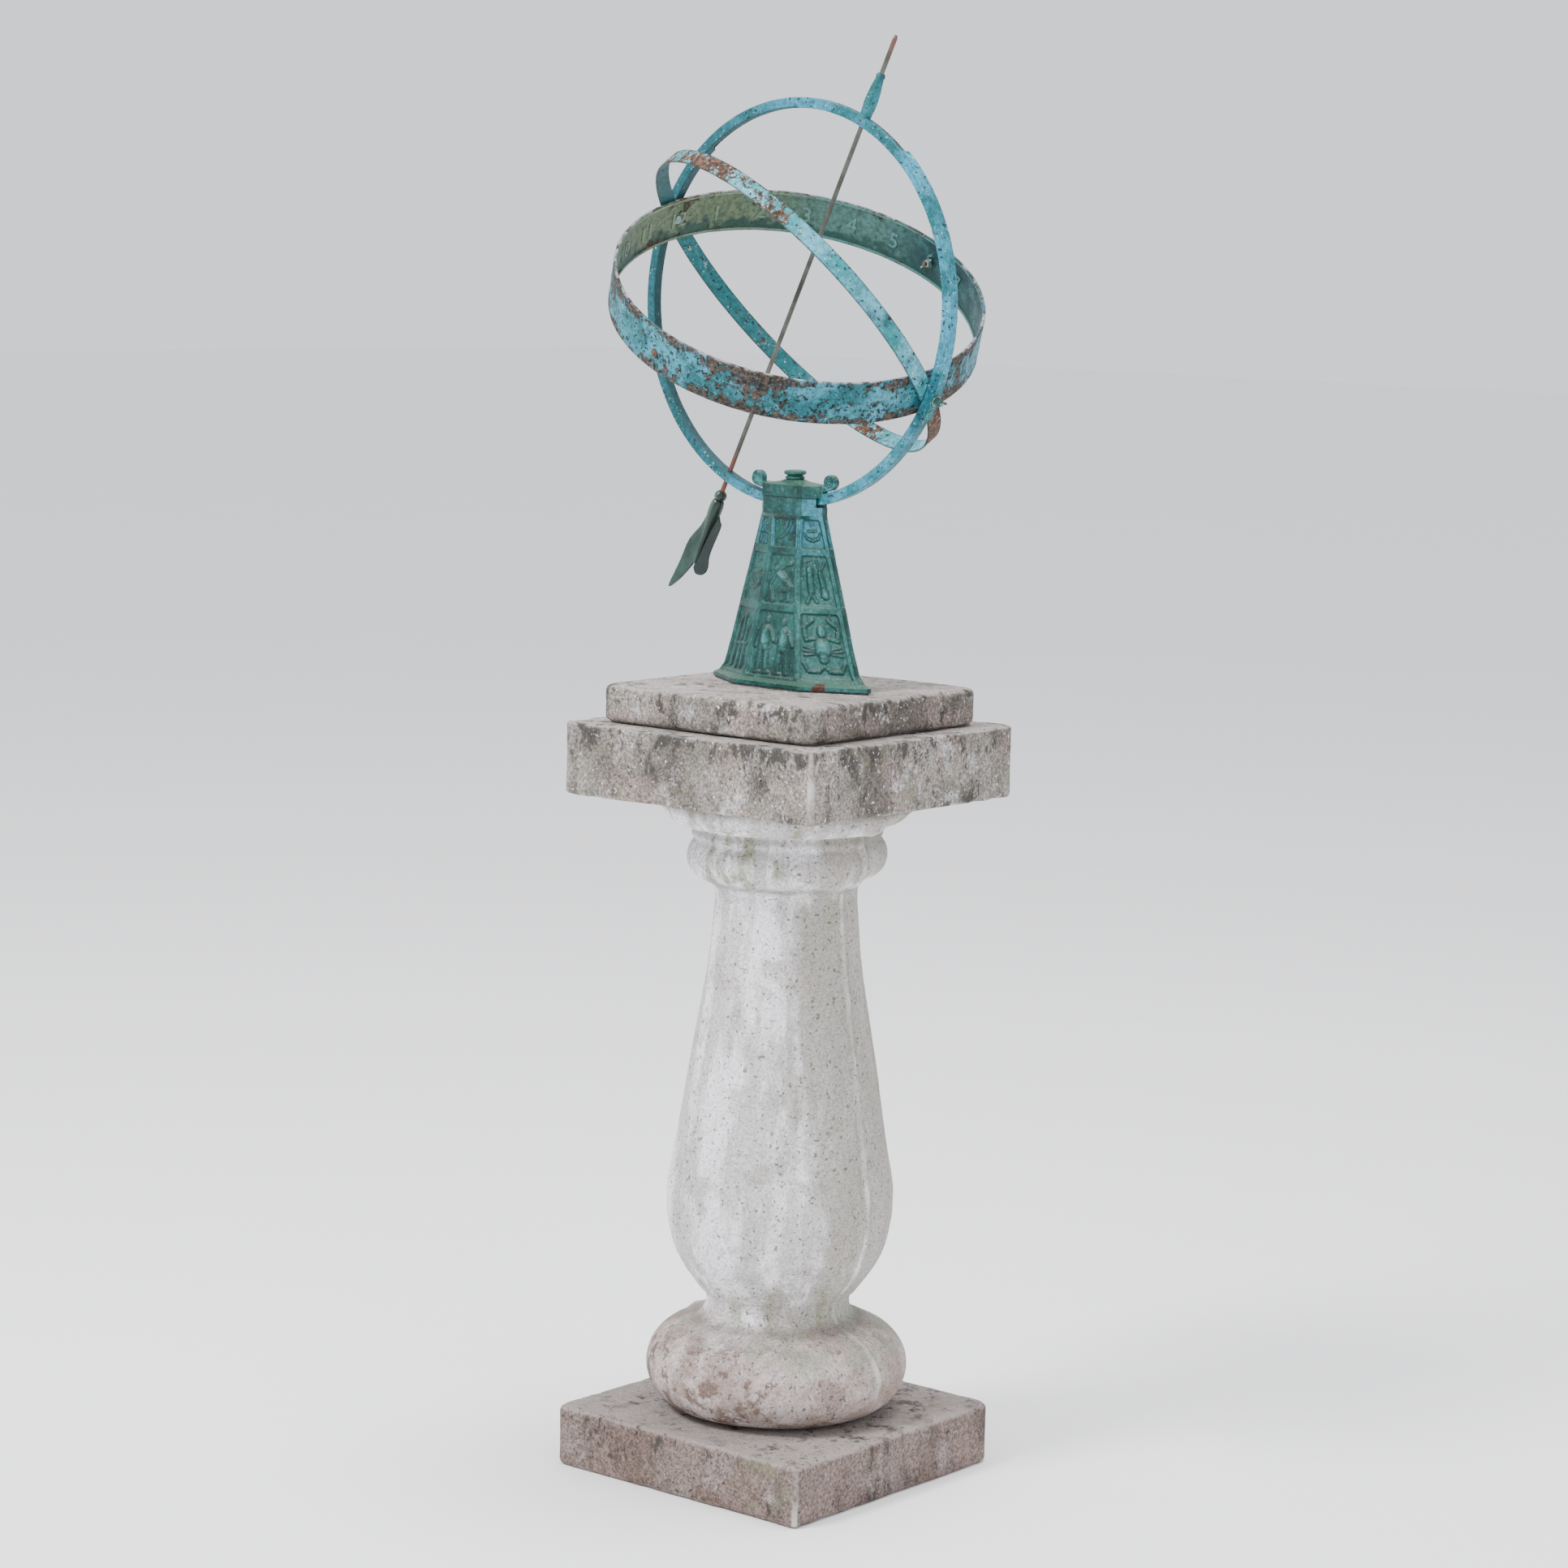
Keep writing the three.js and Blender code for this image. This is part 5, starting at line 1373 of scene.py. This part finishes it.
def point_boss():
    """A square boss with cut corners, full in the middle and drawn in to a small collar at the top."""
    levels = smooth_path([
        [5.9, 230], [6.2, 236], [6.9, 246], [7.0, 252], [6.3, 264], [4.9, 276],
        [4.2, 280.5], [4.7, 281.5], [4.8, 283.5], [4.0, 285.6], [3.1, 286.2],
    ], 0.8)
    cut = 0.52
    corners = [[1, cut], [cut, 1], [-cut, 1], [-1, cut], [-1, -cut], [-cut, -1], [cut, -1], [1, -cut]]
    outline = fine_path(corners, 0.1, closed=True)
    grid = [np.column_stack([outline * width, np.full(len(outline), z)]) for width, z in levels]
    obj = lattice("boss_skin", np.array(grid))
    transform(obj, polar_place())
    roughen(obj, 7 * MM, 2, 141, 0.15 * MM)
    return go(obj, "stand", "verdigris", "boss", "point_boss")


def gnomon_rod():
    """The round rod, from inside the tail to a blunt tip."""
    heights = np.arange(ROD_LOW, ROD_HIGH - 3, 2.0)
    shank = np.column_stack([np.full(len(heights), ROD_RADIUS), heights])
    tip = [[1.7, ROD_HIGH - 0.2], [0.2, ROD_HIGH]]
    profile = np.vstack([[[0.2, ROD_LOW]], shank, tip])
    obj = turned("rod_skin", profile, 24, caps=True)
    transform(obj, polar_place())
    roughen(obj, 9 * MM, 2, 131, 0.08 * MM)
    return go(obj, "gnomon", "rod_steel", "rod", "gnomon_rod")


def vane(name, outline, thickness, lean):
    """A flat fin, turned a little about the rod."""
    obj = extruded(name, outline, thickness)
    transform(obj, Matrix.Rotation(math.radians(lean), 4, "Z"))
    return obj


def tail():
    """Collar ball, bulb and spine, a long pointed vane and a short rounded one, as one soft casting."""
    collar_loop = [
        [3.0, -260.3], [5.6, -260.3], [7.1, -258], [7.5, -255.4], [6.9, -252.4], [4.9, -249.8], [3.0, -249.3],
    ]
    collar = turned("collar", collar_loop, 40, closed=True)
    spine_knots = [
        [0.3, -346], [2.2, -345], [3.4, -325], [5.2, -300], [7.6, -284],
        [8.2, -274], [7.8, -266], [6, -260.9], [0.3, -260.6],
    ]
    spine = turned("spine", smooth_path(spine_knots, 2.5), 40, caps=True)
    long_knots = [
        [0, -274], [-6, -278], [-11.2, -288], [-15, -303], [-24, -321], [-28, -334],
        [-29.5, -362], [-33, -396], [-20, -382], [-11, -366], [-3.5, -350], [0, -340],
    ]
    short_knots = [
        [0, -274], [8, -279], [12, -285], [15, -291], [14.2, -327],
        [18, -344], [16.5, -352], [12, -356.5], [5, -357.5], [0, -352],
    ]
    long_vane = vane("long_vane", smooth_path(long_knots, 2.5), VANE_THICKNESS, -VANE_LEAN)
    short_vane = vane("short_vane", smooth_path(short_knots, 2.5)[::-1], VANE_THICKNESS, VANE_LEAN)
    whole = remeshed("tail_skin", [spine, long_vane, short_vane], 0.6, 6)
    transform(whole, polar_place())
    go(whole, "gnomon", "dark_bronze", "tail", "tail_vanes")
    ball_skin = remeshed("collar_skin", [collar], 0.35, 4)
    transform(ball_skin, polar_place())
    return go(ball_skin, "gnomon", "dark_bronze", "tail", "tail_collar")


def make_sphere():
    meridian_ring()
    hour_band()
    hour_numerals()
    ecliptic_band()
    node_wing_nuts()
    hour_wing_nut()
    splice_and_hardware()
    point_boss()
    gnomon_rod()
    tail()


# ---- stage ----
def make_floor():
    """A wide flat floor of pale paper."""
    mesh = bmesh.new()
    bmesh.ops.create_grid(mesh, x_segments=2, y_segments=2, size=30)
    data = bpy.data.meshes.new("floor")
    mesh.to_mesh(data)
    mesh.free()
    floor = linked("floor", data)
    look = Look("floor_paper")
    grain = look.noise(0.4, 3, 0.5)
    floor.data.materials.append(look.finish(look.mix(grain, (0.93, 0.93, 0.93), (0.96, 0.96, 0.96)), 0.9))


def area_light(name, place, target, size, power, color=(1, 1, 1)):
    data = bpy.data.lights.new(name, "AREA")
    data.shape = "DISK"
    data.size = size
    data.energy = power
    data.color = color
    light = linked(name, data)
    light.location = place
    direction = Vector(target) - Vector(place)
    light.rotation_euler = direction.to_track_quat("-Z", "Y").to_euler()


def make_lights():
    """A bright overcast sky, a soft key from the upper left and a weak fill."""
    world = bpy.data.worlds.new("sky")
    world.use_nodes = True
    background = world.node_tree.nodes["Background"]
    background.inputs["Color"].default_value = (0.93, 0.95, 1.0, 1)
    background.inputs["Strength"].default_value = 1.25
    bpy.context.scene.world = world
    middle = (0, 0, 0.9)
    area_light("key", (-1.0, -3.6, 4.6), middle, 1.4, 330)
    area_light("fill", (4.4, -1.0, 2.6), middle, 2.6, 45, (0.95, 0.98, 1.0))
    area_light("top", (0.3, 0.6, 5.0), middle, 1.8, 170)


def make_camera():
    """The photograph's viewpoint: standing height, a long lens, looking slightly down, rolled a little."""
    towards = Vector((-math.sin(VIEW_AZIMUTH), math.cos(VIEW_AZIMUTH), 0))
    beside = Vector((math.cos(VIEW_AZIMUTH), math.sin(VIEW_AZIMUTH), 0))
    up = Vector((0, 0, 1))
    place = up * CAMERA_HEIGHT - towards * CAMERA_DISTANCE
    level = towards * math.cos(CAMERA_PAN) + beside * math.sin(CAMERA_PAN)
    sideways = beside * math.cos(CAMERA_PAN) - towards * math.sin(CAMERA_PAN)
    forward = level * math.cos(CAMERA_PITCH) - up * math.sin(CAMERA_PITCH)
    upward = up * math.cos(CAMERA_PITCH) + level * math.sin(CAMERA_PITCH)
    right = sideways * math.cos(CAMERA_ROLL) + upward * math.sin(CAMERA_ROLL)
    top = upward * math.cos(CAMERA_ROLL) - sideways * math.sin(CAMERA_ROLL)
    data = bpy.data.cameras.new("camera")
    data.sensor_width = 36
    data.lens = CAMERA_LENS
    data.clip_end = 100
    camera = linked("camera", data)
    camera.matrix_world = axes_at(right, top, -forward, place)
    bpy.context.scene.camera = camera


make_camera()
make_lights()
make_floor()
make_pedestal()
make_pillar()
make_sphere()
